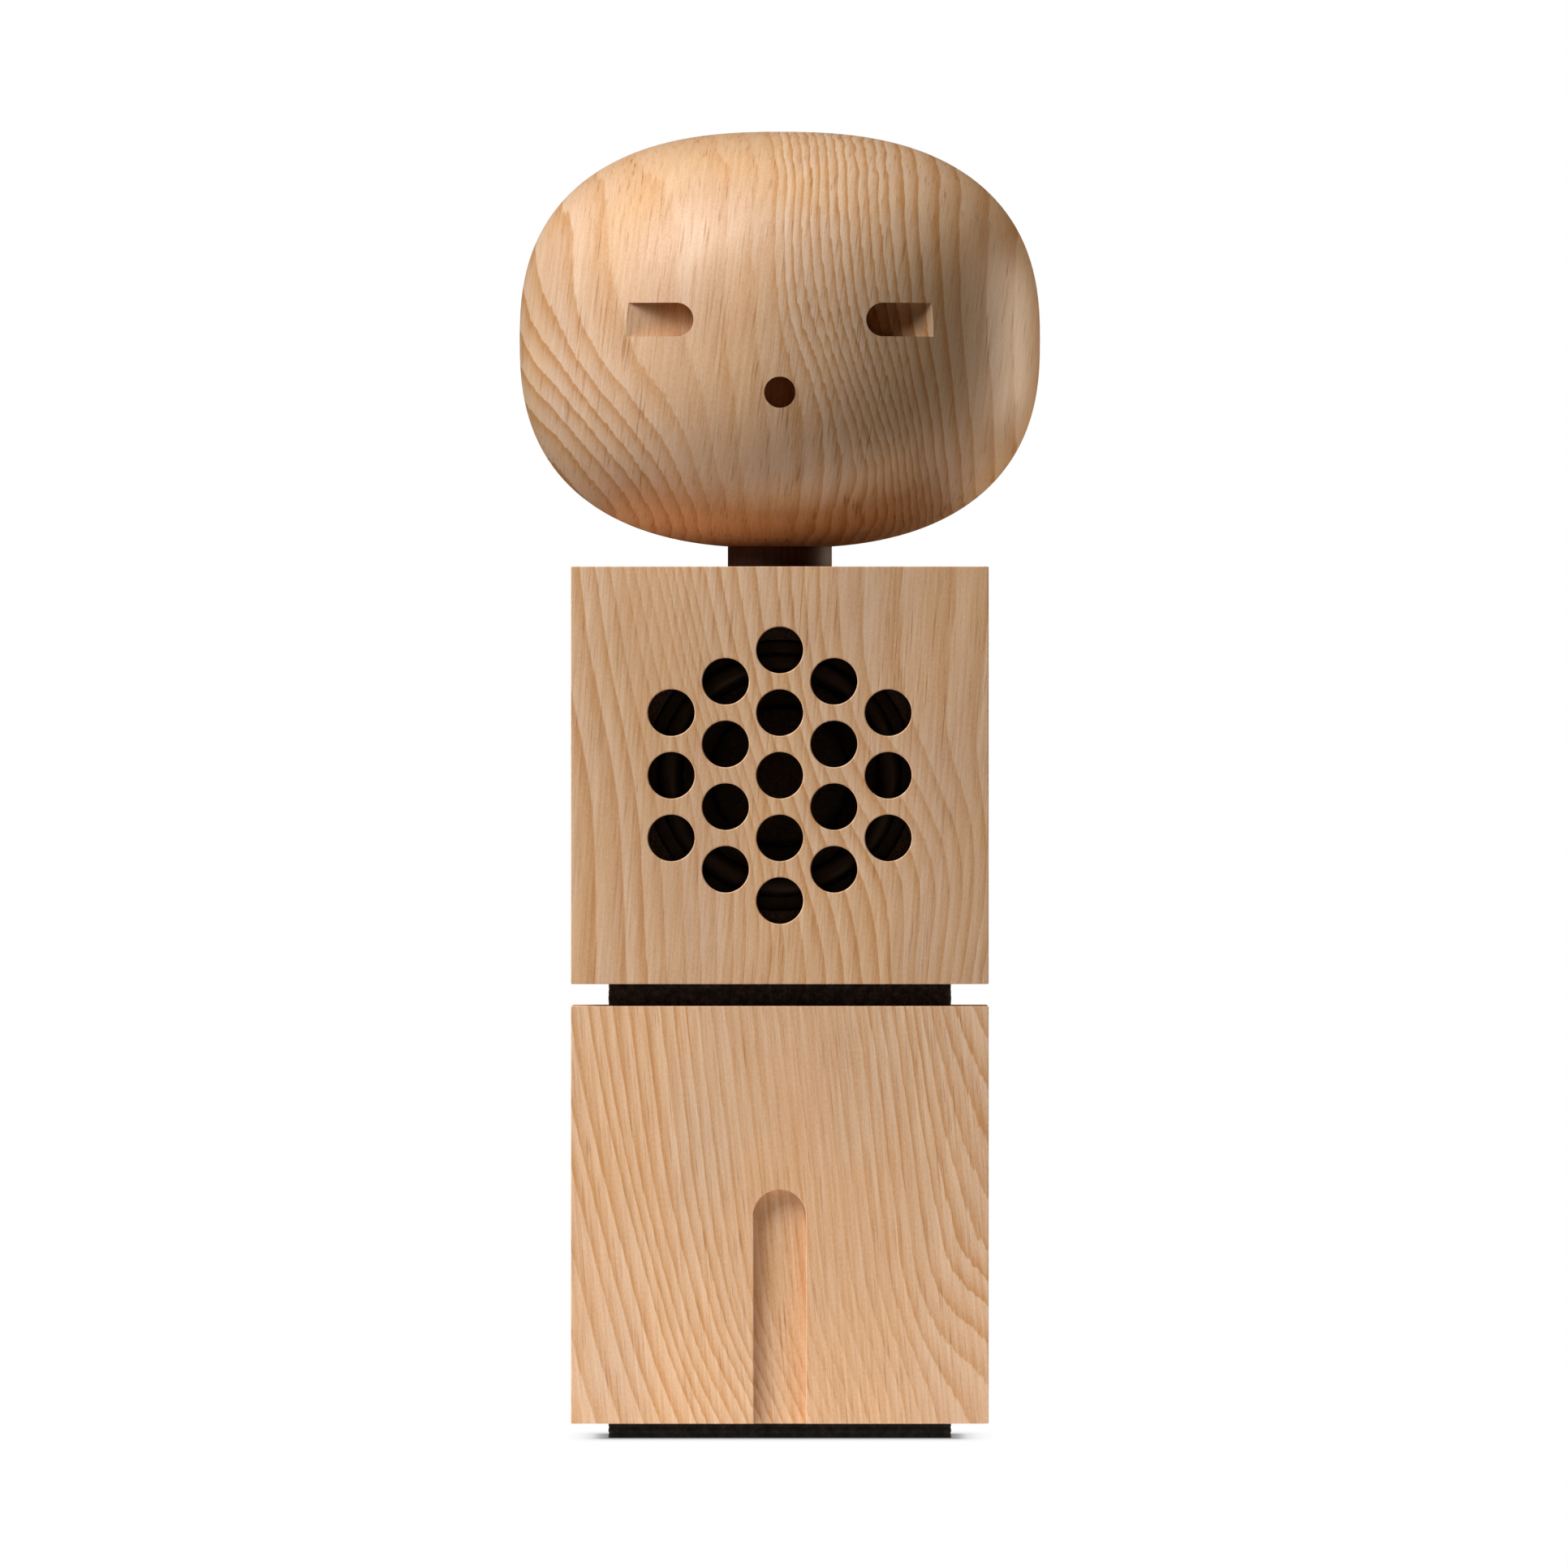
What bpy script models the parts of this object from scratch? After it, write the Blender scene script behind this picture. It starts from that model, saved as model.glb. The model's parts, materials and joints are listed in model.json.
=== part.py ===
"""A kokeshi doll of three turned and milled ash pieces, with a small loudspeaker in its chest.

Metres, +Z up. The doll faces -Y, and the origin is on the floor under the middle of its foot.
A turned head swivels on a dark neck collar. The chest block holds the loudspeaker and, on a rear
panel, its electronics. The leg block holds the battery. Square felt pads part the blocks.
"""

import math

import bmesh
import bpy
from mathutils import Matrix, Vector

MM = 0.001
GAP = 0.3 * MM  # kept between solids that touch on the real doll

# Outer shape
BLOCK = 60.0 * MM  # side of both cubes
BLOCK_ARRIS = 0.4 * MM
FOOT_SHOW = 2.1 * MM  # foot pad below the leg block
WAIST_SHOW = 3.15 * MM  # waist pad between the blocks
NECK_SHOW = 2.75 * MM  # chest block to the lowest point of the head's curve
HEAD_WIDTH = 75.0 * MM
HEAD_HEIGHT = 60.0 * MM
HEAD_POWER = 2.5  # superellipse of the head's side view
PAD_SIDE = 49.3 * MM
PAD_SINK = 1.0 * MM  # depth of each pad's seat in its block
PAD_CORNER = 1.0 * MM

LEG_BOTTOM = FOOT_SHOW
LEG_TOP = LEG_BOTTOM + BLOCK
CHEST_BOTTOM = LEG_TOP + WAIST_SHOW
CHEST_TOP = CHEST_BOTTOM + BLOCK
CHEST_MIDDLE = CHEST_BOTTOM + BLOCK / 2
HEAD_BOTTOM = CHEST_TOP + NECK_SHOW
FACE = -BLOCK / 2  # y of the blocks' front faces
BACK = BLOCK / 2

# Face
EYE_HEIGHT = 4.85 * MM
EYE_INNER = 12.4 * MM  # from the middle to each eye's round end
EYE_RISE = 2.7 * MM  # above the head's middle
EYE_FLOOR = -30.3 * MM  # y of the flat floor, which runs out through the cheek
MOUTH_RADIUS = 2.25 * MM
MOUTH_DROP = 7.75 * MM
MOUTH_FLOOR = -30.5 * MM

# Leg slot
SLOT_WIDTH = 7.5 * MM
SLOT_HEIGHT = 33.6 * MM
SLOT_DEPTH = 1.9 * MM

# Grille: a hexagon of holes on a triangular grid, standing on a point
HOLE_RADIUS = 3.36 * MM
HOLE_PITCH = 9.0 * MM
HOLE_RINGS = 2

# Cavities
CHEST_CAVITY = 45.4 * MM
CHEST_CAVITY_CORNER = 8.0 * MM
GRILLE_WALL = 6.0 * MM
PANEL_SEAT = 52.0 * MM
PANEL_SEAT_CORNER = 3.0 * MM
PANEL_SEAT_DEPTH = 5.8 * MM
LEG_CAVITY = 44.0 * MM
LEG_CAVITY_CORNER = 10.0 * MM
FOOT_SEAT = 50.0 * MM
FOOT_SEAT_DEPTH = 4.6 * MM
LEG_CAVITY_TOP = LEG_TOP - PAD_SINK - 7.0 * MM

# Neck and head pivot
COLLAR_RADIUS = 7.5 * MM
COLLAR_SEAT = 3.0 * MM  # depth of its seat in the chest block
COLLAR_RISE = 4.6 * MM  # above the bottom of the head's curve
HEAD_SEAT = 6.2 * MM  # depth of the collar's seat in the head
BOLT_RADIUS = 2.5 * MM
BOLT_LENGTH = 34.5 * MM
INSERT_RADIUS = 4.0 * MM
INSERT_LENGTH = 12.0 * MM

# Waist tube
TUBE_RADIUS = 5.0 * MM
TUBE_BORE = 3.6 * MM
NUT_FLATS = 14.0 * MM
NUT_HEIGHT = 3.0 * MM
WASHER_RADIUS = 9.0 * MM
WASHER_HEIGHT = 1.2 * MM
TUBE_SPARE = 1.6 * MM  # thread past each nut

# Loudspeaker, measured forwards (+) and backwards (-) from the front of its flange
GASKET_HEIGHT = 2.4 * MM
FLANGE_SIDE = 44.4 * MM
FLANGE_CORNER = 9.0 * MM
FLANGE_HEIGHT = 1.0 * MM
FLANGE_HOLE = 17.9 * MM
GASKET_HOLE = 19.5 * MM
DRIVER_SCREW = (17.2 * MM, 17.2 * MM)  # across and up from the driver's axis
CONE_RADIUS = 14.0 * MM
ROLL_MIDDLE = 15.9 * MM
ROLL_RADIUS = 1.7 * MM
COIL_RADIUS = 9.9 * MM

# Rear panel and electronics
PANEL_SIDE = 51.4 * MM
PANEL_HEIGHT = 4.6 * MM
PANEL_SCREW = (22.6 * MM, 22.6 * MM)  # across and up from the panel's middle
BOARD_WIDTH = 40.0 * MM
BOARD_HEIGHT = 36.0 * MM
BOARD_THICK = 1.6 * MM
BOARD_BACK = 21.0 * MM  # y of the board's rear face
BOARD_SCREW = (17.0 * MM, 15.0 * MM)  # two screws, at opposite corners
BUTTON_RADIUS = 3.5 * MM
BUTTON_RISE = 8.0 * MM  # above the panel's middle
BUTTON_PROUD = 0.6 * MM
FLUSH = 0.05 * MM  # how far a flush screw or light sits below the panel's face
SOCKET_DROP = 10.0 * MM
SOCKET_WIDTH = 8.94 * MM
SOCKET_HEIGHT = 3.26 * MM

# Battery and base plate
BASE_THICK = 3.0 * MM
BASE_SCREW = (21.6 * MM, 21.6 * MM)
CELL = (40.0 * MM, 10.5 * MM, 34.0 * MM)
TRAY_WALL = 2.0 * MM


def material(name, colour, roughness, metallic=0.0):
    made = bpy.data.materials.new(name)
    made.use_nodes = True
    shader = made.node_tree.nodes["Principled BSDF"]
    shader.inputs["Base Color"].default_value = (*colour, 1.0)
    shader.inputs["Roughness"].default_value = roughness
    shader.inputs["Metallic"].default_value = metallic
    return made


def clear_scene():
    for old in list(bpy.data.objects):
        bpy.data.objects.remove(old)


def empty(name, location, rotation=(0.0, 0.0, 0.0), parent=None):
    made = bpy.data.objects.new(name, None)
    made.location = location
    made.rotation_euler = rotation
    made.parent = parent
    bpy.context.scene.collection.objects.link(made)
    return made


def place(name, bm, finish, parent=None, location=(0, 0, 0), smooth=True):
    """Turns a bmesh into a named object with its material."""
    bmesh.ops.recalc_face_normals(bm, faces=bm.faces)
    mesh = bpy.data.meshes.new(name)
    bm.to_mesh(mesh)
    bm.free()
    if smooth:
        mesh.shade_smooth()
        mesh.set_sharp_from_angle(angle=math.radians(35))
    mesh.materials.append(finish)
    made = bpy.data.objects.new(name, mesh)
    made.location = location
    made.parent = parent
    bpy.context.scene.collection.objects.link(made)
    return made


def cut(target, name, bm, parent=None, location=(0, 0, 0), operation="DIFFERENCE"):
    """Adds a Boolean whose hidden cutter is the bmesh, in the target's own frame unless told another."""
    bmesh.ops.recalc_face_normals(bm, faces=bm.faces)
    mesh = bpy.data.meshes.new(name)
    bm.to_mesh(mesh)
    bm.free()
    cutter = bpy.data.objects.new(name, mesh)
    cutter.location = location
    cutter.parent = parent
    cutter.hide_render = True
    cutter.display_type = "WIRE"
    bpy.context.scene.collection.objects.link(cutter)
    boolean = target.modifiers.new(name, "BOOLEAN")
    boolean.operation = operation
    boolean.object = cutter
    boolean.solver = "EXACT"


# Shapes. Each returns a bmesh, so that several can be joined before they are placed.


def turned(outline, steps=32, closed=False):
    """Spins (radius, height) points about Z: a closed outline makes a ring, an open one a solid."""
    bm = bmesh.new()
    points = [bm.verts.new((r, 0.0, z)) for r, z in outline]
    edges = [bm.edges.new(pair) for pair in zip(points, points[1:])]
    if closed:
        edges.append(bm.edges.new((points[-1], points[0])))
    bmesh.ops.spin(
        bm,
        geom=points + edges,
        cent=(0, 0, 0),
        axis=(0, 0, 1),
        angle=math.tau,
        steps=steps,
        use_merge=True,
    )
    bmesh.ops.remove_doubles(bm, verts=bm.verts, dist=1e-7)
    return bm


def rod(radius, bottom, top, steps=24):
    return turned([(0, bottom), (radius, bottom), (radius, top), (0, top)], steps)


def ring(inner, outer, bottom, top, steps=32):
    outline = [(inner, bottom), (outer, bottom), (outer, top), (inner, top)]
    return turned(outline, steps, closed=True)


def block(size, centre=(0, 0, 0)):
    bm = bmesh.new()
    shape = Matrix.Translation(centre) @ Matrix.Diagonal((*size, 1.0))
    bmesh.ops.create_cube(bm, size=1.0, matrix=shape)
    return bm


def prism(outline, bottom, top):
    """Extrudes a closed outline of (x, y) points from one height to another."""
    bm = bmesh.new()
    face = bm.faces.new([bm.verts.new((x, y, bottom)) for x, y in outline])
    grown = bmesh.ops.extrude_face_region(bm, geom=[face])
    lifted = [v for v in grown["geom"] if isinstance(v, bmesh.types.BMVert)]
    bmesh.ops.translate(bm, verts=lifted, vec=(0, 0, top - bottom))
    return bm


def rounded(width, height, corner, steps=6):
    """Outline of a rectangle with round corners."""
    points = []
    for turn, (sx, sy) in enumerate(((1, 1), (-1, 1), (-1, -1), (1, -1))):
        middle = Vector((sx * (width / 2 - corner), sy * (height / 2 - corner)))
        for step in range(steps + 1):
            angle = math.pi / 2 * (turn + step / steps)
            points.append(middle + corner * Vector((math.cos(angle), math.sin(angle))))
    return points


def joined(shapes):
    """One bmesh holding several, each still a separate body."""
    whole = bmesh.new()
    for shape in shapes:
        mesh = bpy.data.meshes.new("joined")
        shape.to_mesh(mesh)
        shape.free()
        whole.from_mesh(mesh)
        bpy.data.meshes.remove(mesh)
    return whole


def moved(bm, offset):
    bmesh.ops.translate(bm, verts=bm.verts, vec=offset)
    return bm


def facing_back(bm):
    """Turns a shape modelled up +Z so that its +Z points to the doll's back, +Y, and its +Y down."""
    bmesh.ops.rotate(bm, verts=bm.verts, matrix=Matrix.Rotation(-math.pi / 2, 3, "X"))
    return bm


def corners(x, y):
    return [(sx * x, sy * y, 0) for sx, sy in ((1, 1), (-1, 1), (-1, -1), (1, -1))]


def repeated(make, spots):
    """One cutter of several copies of a shape."""
    return joined([moved(make(), spot) for spot in spots])


def place_each(name, make, spots, finish, parent, height=0.0):
    """One object for each copy of a shape, numbered from 1."""
    for number, (x, y, z) in enumerate(spots, start=1):
        place(f"{name}_{number}", make(), finish, parent, (x, y, z + height))


def upside_down(bm):
    bmesh.ops.rotate(bm, verts=bm.verts, matrix=Matrix.Rotation(math.pi, 3, "X"))
    return bm


def screw(head_radius, head_height, shank_radius, shank_length, steps=12):
    """A pan-head screw: its head sits below z = 0 and its shank runs up +Z."""
    outline = [
        (0, -head_height),
        (head_radius * 0.75, -head_height),
        (head_radius, -head_height * 0.5),
        (head_radius, 0),
        (shank_radius, 0),
        (shank_radius, shank_length - shank_radius),
        (0, shank_length),
    ]
    return turned(outline, steps)


def countersunk(head_radius, shank_radius, length, steps=12):
    """A flat-head screw: its flat face is at z = 0 and its shank runs up +Z."""
    outline = [
        (0, 0),
        (head_radius, 0),
        (shank_radius, head_radius - shank_radius),
        (shank_radius, length - shank_radius),
        (0, length),
    ]
    return turned(outline, steps)


def grille_places():
    """Centres of the holes of a hexagon of HOLE_RINGS rings that stands on a point, from its middle."""
    across = HOLE_PITCH * math.sqrt(3) / 2
    places = []
    for column in range(-HOLE_RINGS, HOLE_RINGS + 1):
        count = 2 * HOLE_RINGS + 1 - abs(column)
        for row in range(count):
            places.append((column * across, (row - (count - 1) / 2) * HOLE_PITCH))
    return places


def smooth_route(points, per_span=4):
    """Points along a Catmull-Rom curve through the route's own points."""
    stops = [Vector(p) for p in points]
    padded = [2 * stops[0] - stops[1], *stops, 2 * stops[-1] - stops[-2]]
    route = []
    for a, b, c, d in zip(padded, padded[1:], padded[2:], padded[3:]):
        for step in range(per_span):
            t = step / per_span
            curve = 2 * b + (c - a) * t
            curve += (2 * a - 5 * b + 4 * c - d) * t * t
            curve += (3 * b - a - 3 * c + d) * t * t * t
            route.append(curve / 2)
    return [*route, stops[-1]]


def cable(name, points, radius, finish, parent):
    curve = bpy.data.curves.new(name, "CURVE")
    curve.dimensions = "3D"
    curve.bevel_depth = radius
    curve.bevel_resolution = 2
    curve.use_fill_caps = True
    route = smooth_route(points)
    spline = curve.splines.new("POLY")
    spline.points.add(len(route) - 1)
    for point, where in zip(spline.points, route):
        point.co = (*where, 1.0)
    curve.materials.append(finish)
    made = bpy.data.objects.new(name, curve)
    made.parent = parent
    bpy.context.scene.collection.objects.link(made)
    return made


# Materials


def make_materials():
    return {
        "ash": material("oiled_ash", (0.55, 0.34, 0.18), 0.55),
        "dark_wood": material("smoked_oak", (0.035, 0.018, 0.011), 0.4),
        "felt": material("black_felt", (0.010, 0.008, 0.007), 0.95),
        "foam": material("grey_foam", (0.05, 0.045, 0.04), 0.95),
        "plywood": material("birch_plywood", (0.6, 0.45, 0.28), 0.6),
        "steel": material("zinc_plated_steel", (0.6, 0.6, 0.62), 0.35, 1.0),
        "black_steel": material("black_painted_steel", (0.02, 0.02, 0.02), 0.45),
        "ferrite": material("ferrite_magnet", (0.05, 0.05, 0.055), 0.6),
        "brass": material("brass", (0.75, 0.55, 0.25), 0.3, 1.0),
        "paper": material("black_paper_cone", (0.015, 0.014, 0.014), 0.7),
        "rubber": material("black_rubber", (0.012, 0.012, 0.012), 0.5),
        "copper": material("copper_coil", (0.7, 0.32, 0.18), 0.35, 1.0),
        "cloth": material("spider_cloth", (0.55, 0.35, 0.15), 0.9),
        "circuit": material("green_circuit_board", (0.02, 0.12, 0.06), 0.4),
        "chip": material("black_chip", (0.02, 0.02, 0.022), 0.4),
        "plastic": material("black_abs", (0.02, 0.02, 0.02), 0.5),
        "nylon": material("white_nylon", (0.75, 0.74, 0.7), 0.5),
        "acrylic": material("clear_acrylic", (0.8, 0.82, 0.82), 0.1),
        "cell": material("silver_pouch", (0.6, 0.6, 0.62), 0.35, 0.6),
    }


# Wooden pieces


def cube_piece(name, bottom, finish, parent):
    bm = block((BLOCK, BLOCK, BLOCK), (0, 0, BLOCK / 2))
    bmesh.ops.bevel(
        bm,
        geom=bm.edges,
        offset=BLOCK_ARRIS,
        affect="EDGES",
        segments=1,
        profile=0.5,
        material=-1,
    )
    return place(name, bm, finish, parent, (0, 0, bottom))


def make_head(finish, axis):
    """Turned head: a superellipse spun about Z, with two eyes, a mouth and a bore for its pivot."""
    half = HEAD_HEIGHT / 2
    count = 16
    outline = []
    for step in range(count + 1):
        angle = math.pi * (step / count - 0.5)
        r = HEAD_WIDTH / 2 * max(math.cos(angle), 0.0) ** (2 / HEAD_POWER)
        lift = math.copysign(abs(math.sin(angle)) ** (2 / HEAD_POWER), angle)
        outline.append((r if 0 < step < count else 0.0, half + half * lift))
    head = place("head", turned(outline, 40), finish, axis)

    for side in (1, -1):
        end = EYE_INNER + EYE_HEIGHT / 2
        far = HEAD_WIDTH / 2
        arc = [
            Vector((end - EYE_HEIGHT / 2 * math.sin(a), EYE_HEIGHT / 2 * math.cos(a)))
            for a in (math.pi * step / 12 for step in range(13))
        ]
        outline = [(side * x, y) for x, y in [*arc, (far, -EYE_HEIGHT / 2), (far, EYE_HEIGHT / 2)]]
        pocket = facing_back(prism(outline, -HEAD_WIDTH, EYE_FLOOR))
        cut(head, "eye_cutter", pocket, axis, (0, 0, half + EYE_RISE))
    mouth = facing_back(rod(MOUTH_RADIUS, -HEAD_WIDTH, MOUTH_FLOOR, 20))
    cut(head, "mouth_cutter", mouth, axis, (0, 0, half - MOUTH_DROP))

    seat = COLLAR_RADIUS + GAP
    bore = INSERT_RADIUS + GAP
    top = HEAD_SEAT + INSERT_LENGTH + 2 * GAP
    tip = BOLT_RADIUS + 0.5 * MM
    stepped = [
        (0, -HEAD_SEAT),
        (seat, -HEAD_SEAT),
        (seat, HEAD_SEAT),
        (bore, HEAD_SEAT),
        (bore, top),
        (tip, top),
        (tip, top + HEAD_SEAT),
        (0, top + HEAD_SEAT),
    ]
    cut(head, "head_bore_cutter", turned(stepped, 32), axis)
    return head


def make_chest(finish, doll):
    chest = cube_piece("chest_block", CHEST_BOTTOM, finish, doll)
    middle = (0, 0, CHEST_MIDDLE)
    front = FACE + GRILLE_WALL
    seat = BACK - PANEL_SEAT_DEPTH
    past = 5 * MM

    outline = rounded(CHEST_CAVITY, CHEST_CAVITY, CHEST_CAVITY_CORNER)
    cut(chest, "chest_cavity_cutter", facing_back(prism(outline, front, seat + past / 2)), doll, middle)
    outline = rounded(PANEL_SEAT, PANEL_SEAT, PANEL_SEAT_CORNER, 4)
    cut(chest, "panel_seat_cutter", facing_back(prism(outline, seat, BACK + past)), doll, middle)

    spots = [(*spot, 0) for spot in grille_places()]
    holes = repeated(lambda: rod(HOLE_RADIUS, FACE - past, front + past / 5, 16), spots)
    cut(chest, "grille_cutter", facing_back(holes), doll, middle)

    outline = rounded(PAD_SIDE + 2 * GAP, PAD_SIDE + 2 * GAP, PAD_CORNER, 2)
    cut(chest, "waist_seat_cutter", prism(outline, -past, PAD_SINK), doll, (0, 0, CHEST_BOTTOM))
    cut(chest, "waist_bore_cutter", rod(TUBE_RADIUS + GAP, -past, 3 * past), doll, (0, 0, CHEST_BOTTOM))

    stepped = [
        (0, -3 * past),
        (BOLT_RADIUS + 2 * GAP, -3 * past),
        (BOLT_RADIUS + 2 * GAP, -COLLAR_SEAT),
        (COLLAR_RADIUS + GAP, -COLLAR_SEAT),
        (COLLAR_RADIUS + GAP, past),
        (0, past),
    ]
    cut(chest, "collar_seat_cutter", turned(stepped, 32), doll, (0, 0, CHEST_TOP))

    pilot = 1.2 * MM
    depth = 4.2 * MM
    holes = repeated(lambda: rod(pilot, front - depth, front + past, 8), corners(*DRIVER_SCREW))
    cut(chest, "driver_pilot_cutter", facing_back(holes), doll, middle)
    holes = repeated(lambda: rod(pilot, seat - 2 * depth, seat + past, 8), corners(*PANEL_SCREW))
    cut(chest, "panel_pilot_cutter", facing_back(holes), doll, middle)
    return chest


def make_legs(finish, doll):
    legs = cube_piece("leg_block", LEG_BOTTOM, finish, doll)
    bottom = (0, 0, LEG_BOTTOM)
    past = 5 * MM

    outline = rounded(LEG_CAVITY, LEG_CAVITY, LEG_CAVITY_CORNER)
    height = LEG_CAVITY_TOP - LEG_BOTTOM
    cut(legs, "leg_cavity_cutter", prism(outline, FOOT_SEAT_DEPTH - past / 2, height), doll, bottom)
    outline = rounded(FOOT_SEAT, FOOT_SEAT, PAD_CORNER, 2)
    cut(legs, "foot_seat_cutter", prism(outline, -past, FOOT_SEAT_DEPTH), doll, bottom)
    outline = rounded(PAD_SIDE + 2 * GAP, PAD_SIDE + 2 * GAP, PAD_CORNER, 2)
    cut(legs, "leg_waist_seat_cutter", prism(outline, BLOCK - PAD_SINK, BLOCK + past), doll, bottom)
    cut(legs, "leg_bore_cutter", rod(TUBE_RADIUS + GAP, height - past, BLOCK + past), doll, bottom)

    radius = SLOT_WIDTH / 2
    arc = [
        (radius * math.cos(a), SLOT_HEIGHT - radius + radius * math.sin(a))
        for a in (math.pi * step / 16 for step in range(17))
    ]
    outline = [(x, -y) for x, y in [*arc, (-radius, -past), (radius, -past)]]
    slot = facing_back(prism(outline, FACE - past, FACE + SLOT_DEPTH))
    cut(legs, "leg_slot_cutter", slot, doll, bottom)

    holes = repeated(lambda: rod(1.2 * MM, 0, 3.2 * past, 8), corners(*BASE_SCREW))
    cut(legs, "base_pilot_cutter", holes, doll, bottom)
    return legs


# Felt pads, base plate and battery


def make_pads(felt, plywood, steel, doll):
    foot_top = FOOT_SHOW + PAD_SINK
    outline = rounded(PAD_SIDE, PAD_SIDE, PAD_CORNER, 3)
    place("foot_pad", prism(outline, 0, foot_top), felt, doll)

    base_bottom = foot_top + GAP
    base = place("base_plate", prism(outline, 0, BASE_THICK), plywood, doll, (0, 0, base_bottom))
    head, shank = 2.2 * MM, 0.9 * MM
    sunk = [
        (0, -GAP),
        (head + GAP, -GAP),
        (head + GAP, 0),
        (shank + GAP, head - shank),
        (shank + GAP, 2 * BASE_THICK),
        (0, 2 * BASE_THICK),
    ]
    spots = corners(*BASE_SCREW)
    cut(base, "base_hole_cutter", repeated(lambda: turned(sunk, 12), spots), doll, (0, 0, base_bottom))
    place_each("base_screw", lambda: countersunk(head, shank, 12 * MM), spots, steel, doll, base_bottom)

    bottom = LEG_TOP - PAD_SINK + GAP
    top = CHEST_BOTTOM + PAD_SINK - GAP
    pad = place("waist_pad", prism(outline, bottom, top), felt, doll)
    cut(pad, "waist_hole_cutter", rod(TUBE_RADIUS + 2 * GAP, bottom - GAP, top + GAP), doll)
    return base_bottom + BASE_THICK


def make_battery(finish, floor, doll):
    """A U-shaped tray glued to the base plate holds a pouch cell on end, with foam above it."""
    width, depth, height = CELL
    inner = depth / 2 + GAP
    outer = inner + TRAY_WALL
    rise = 16 * MM
    bottom = floor + GAP
    section = [
        (-outer, 0),
        (outer, 0),
        (outer, rise),
        (inner, rise),
        (inner, TRAY_WALL),
        (-inner, TRAY_WALL),
        (-inner, rise),
        (-outer, rise),
    ]
    bm = prism([(-z, y) for y, z in section], -width / 2, width / 2)
    bmesh.ops.rotate(bm, verts=bm.verts, matrix=Matrix.Rotation(math.pi / 2, 3, "Y"))
    place("battery_tray", bm, finish["plastic"], doll, (0, 0, bottom))

    cell_bottom = bottom + TRAY_WALL + GAP
    cell = prism(rounded(width - 0.6 * MM, depth, 3 * MM, 4), 0, height)
    place("battery_cell", cell, finish["cell"], doll, (0, 0, cell_bottom))

    foam_bottom = cell_bottom + height + GAP
    foam_height = LEG_CAVITY_TOP - GAP - foam_bottom
    foam = block((7 * MM, depth, foam_height), (-14 * MM, 0, foam_height / 2))
    place("battery_foam", foam, finish["foam"], doll, (0, 0, foam_bottom), smooth=False)
    return cell_bottom + height


def make_waist_tube(steel, doll):
    """A threaded tube, clamped by two washers and nuts, joins the blocks and carries the battery cable."""
    upper = CHEST_MIDDLE - CHEST_CAVITY / 2
    lower = LEG_CAVITY_TOP
    past = GAP + WASHER_HEIGHT + GAP + NUT_HEIGHT + TUBE_SPARE
    place("waist_tube", ring(TUBE_BORE, TUBE_RADIUS, lower - past, upper + past, 24), steel, doll)

    washer = TUBE_RADIUS + GAP
    for name, bottom in (
        ("waist_washer_upper", upper + GAP),
        ("waist_washer_lower", lower - GAP - WASHER_HEIGHT),
    ):
        place(name, ring(washer, WASHER_RADIUS, 0, WASHER_HEIGHT, 24), steel, doll, (0, 0, bottom))

    reach = NUT_FLATS / math.sqrt(3)
    turns = [k * math.pi / 3 for k in range(6)]
    hexagon = [(reach * math.cos(turn), reach * math.sin(turn)) for turn in turns]
    for name, bottom in (
        ("waist_nut_upper", upper + 2 * GAP + WASHER_HEIGHT),
        ("waist_nut_lower", lower - 2 * GAP - WASHER_HEIGHT - NUT_HEIGHT),
    ):
        nut = place(name, prism(hexagon, 0, NUT_HEIGHT), steel, doll, (0, 0, bottom))
        cut(nut, name + "_bore_cutter", rod(washer, -GAP, NUT_HEIGHT + GAP, 24), doll, (0, 0, bottom))
    return lower - past, upper + past


# Neck


def make_neck(finish, doll, axis):
    """The collar is glued into the chest. The bolt and its insert turn with the head."""
    bottom = CHEST_TOP - COLLAR_SEAT + GAP
    top = HEAD_BOTTOM + COLLAR_RISE
    bore = BOLT_RADIUS + 2 * GAP
    place("neck_collar", ring(bore, COLLAR_RADIUS, bottom, top, 32), finish["dark_wood"], doll)
    felt_top = HEAD_BOTTOM + HEAD_SEAT - GAP
    washer = ring(bore, COLLAR_RADIUS - 2 * GAP, top + GAP, felt_top, 24)
    place("neck_felt_washer", washer, finish["felt"], doll)

    ceiling = CHEST_MIDDLE + CHEST_CAVITY / 2
    thrust, wave = 1.0 * MM, 0.6 * MM
    under_thrust = ceiling - GAP - thrust
    place("thrust_washer", ring(bore, 7.0 * MM, under_thrust, ceiling - GAP, 20), finish["nylon"], doll)
    under_wave = under_thrust - GAP - wave
    place("spring_washer", ring(bore, 5.6 * MM, under_wave, under_thrust - GAP, 24), finish["steel"], doll)

    start = under_wave - GAP
    bolt = screw(4.75 * MM, 2.75 * MM, BOLT_RADIUS, BOLT_LENGTH, 24)
    place("pivot_bolt", bolt, finish["steel"], axis, (0, 0, start - HEAD_BOTTOM))
    seat = HEAD_SEAT + GAP
    insert = ring(BOLT_RADIUS + GAP, INSERT_RADIUS, seat, seat + INSERT_LENGTH, 24)
    place("head_insert", insert, finish["brass"], axis)


# Loudspeaker. Its empty stands at the front of the flange with +Z pointing out of the grille.


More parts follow.
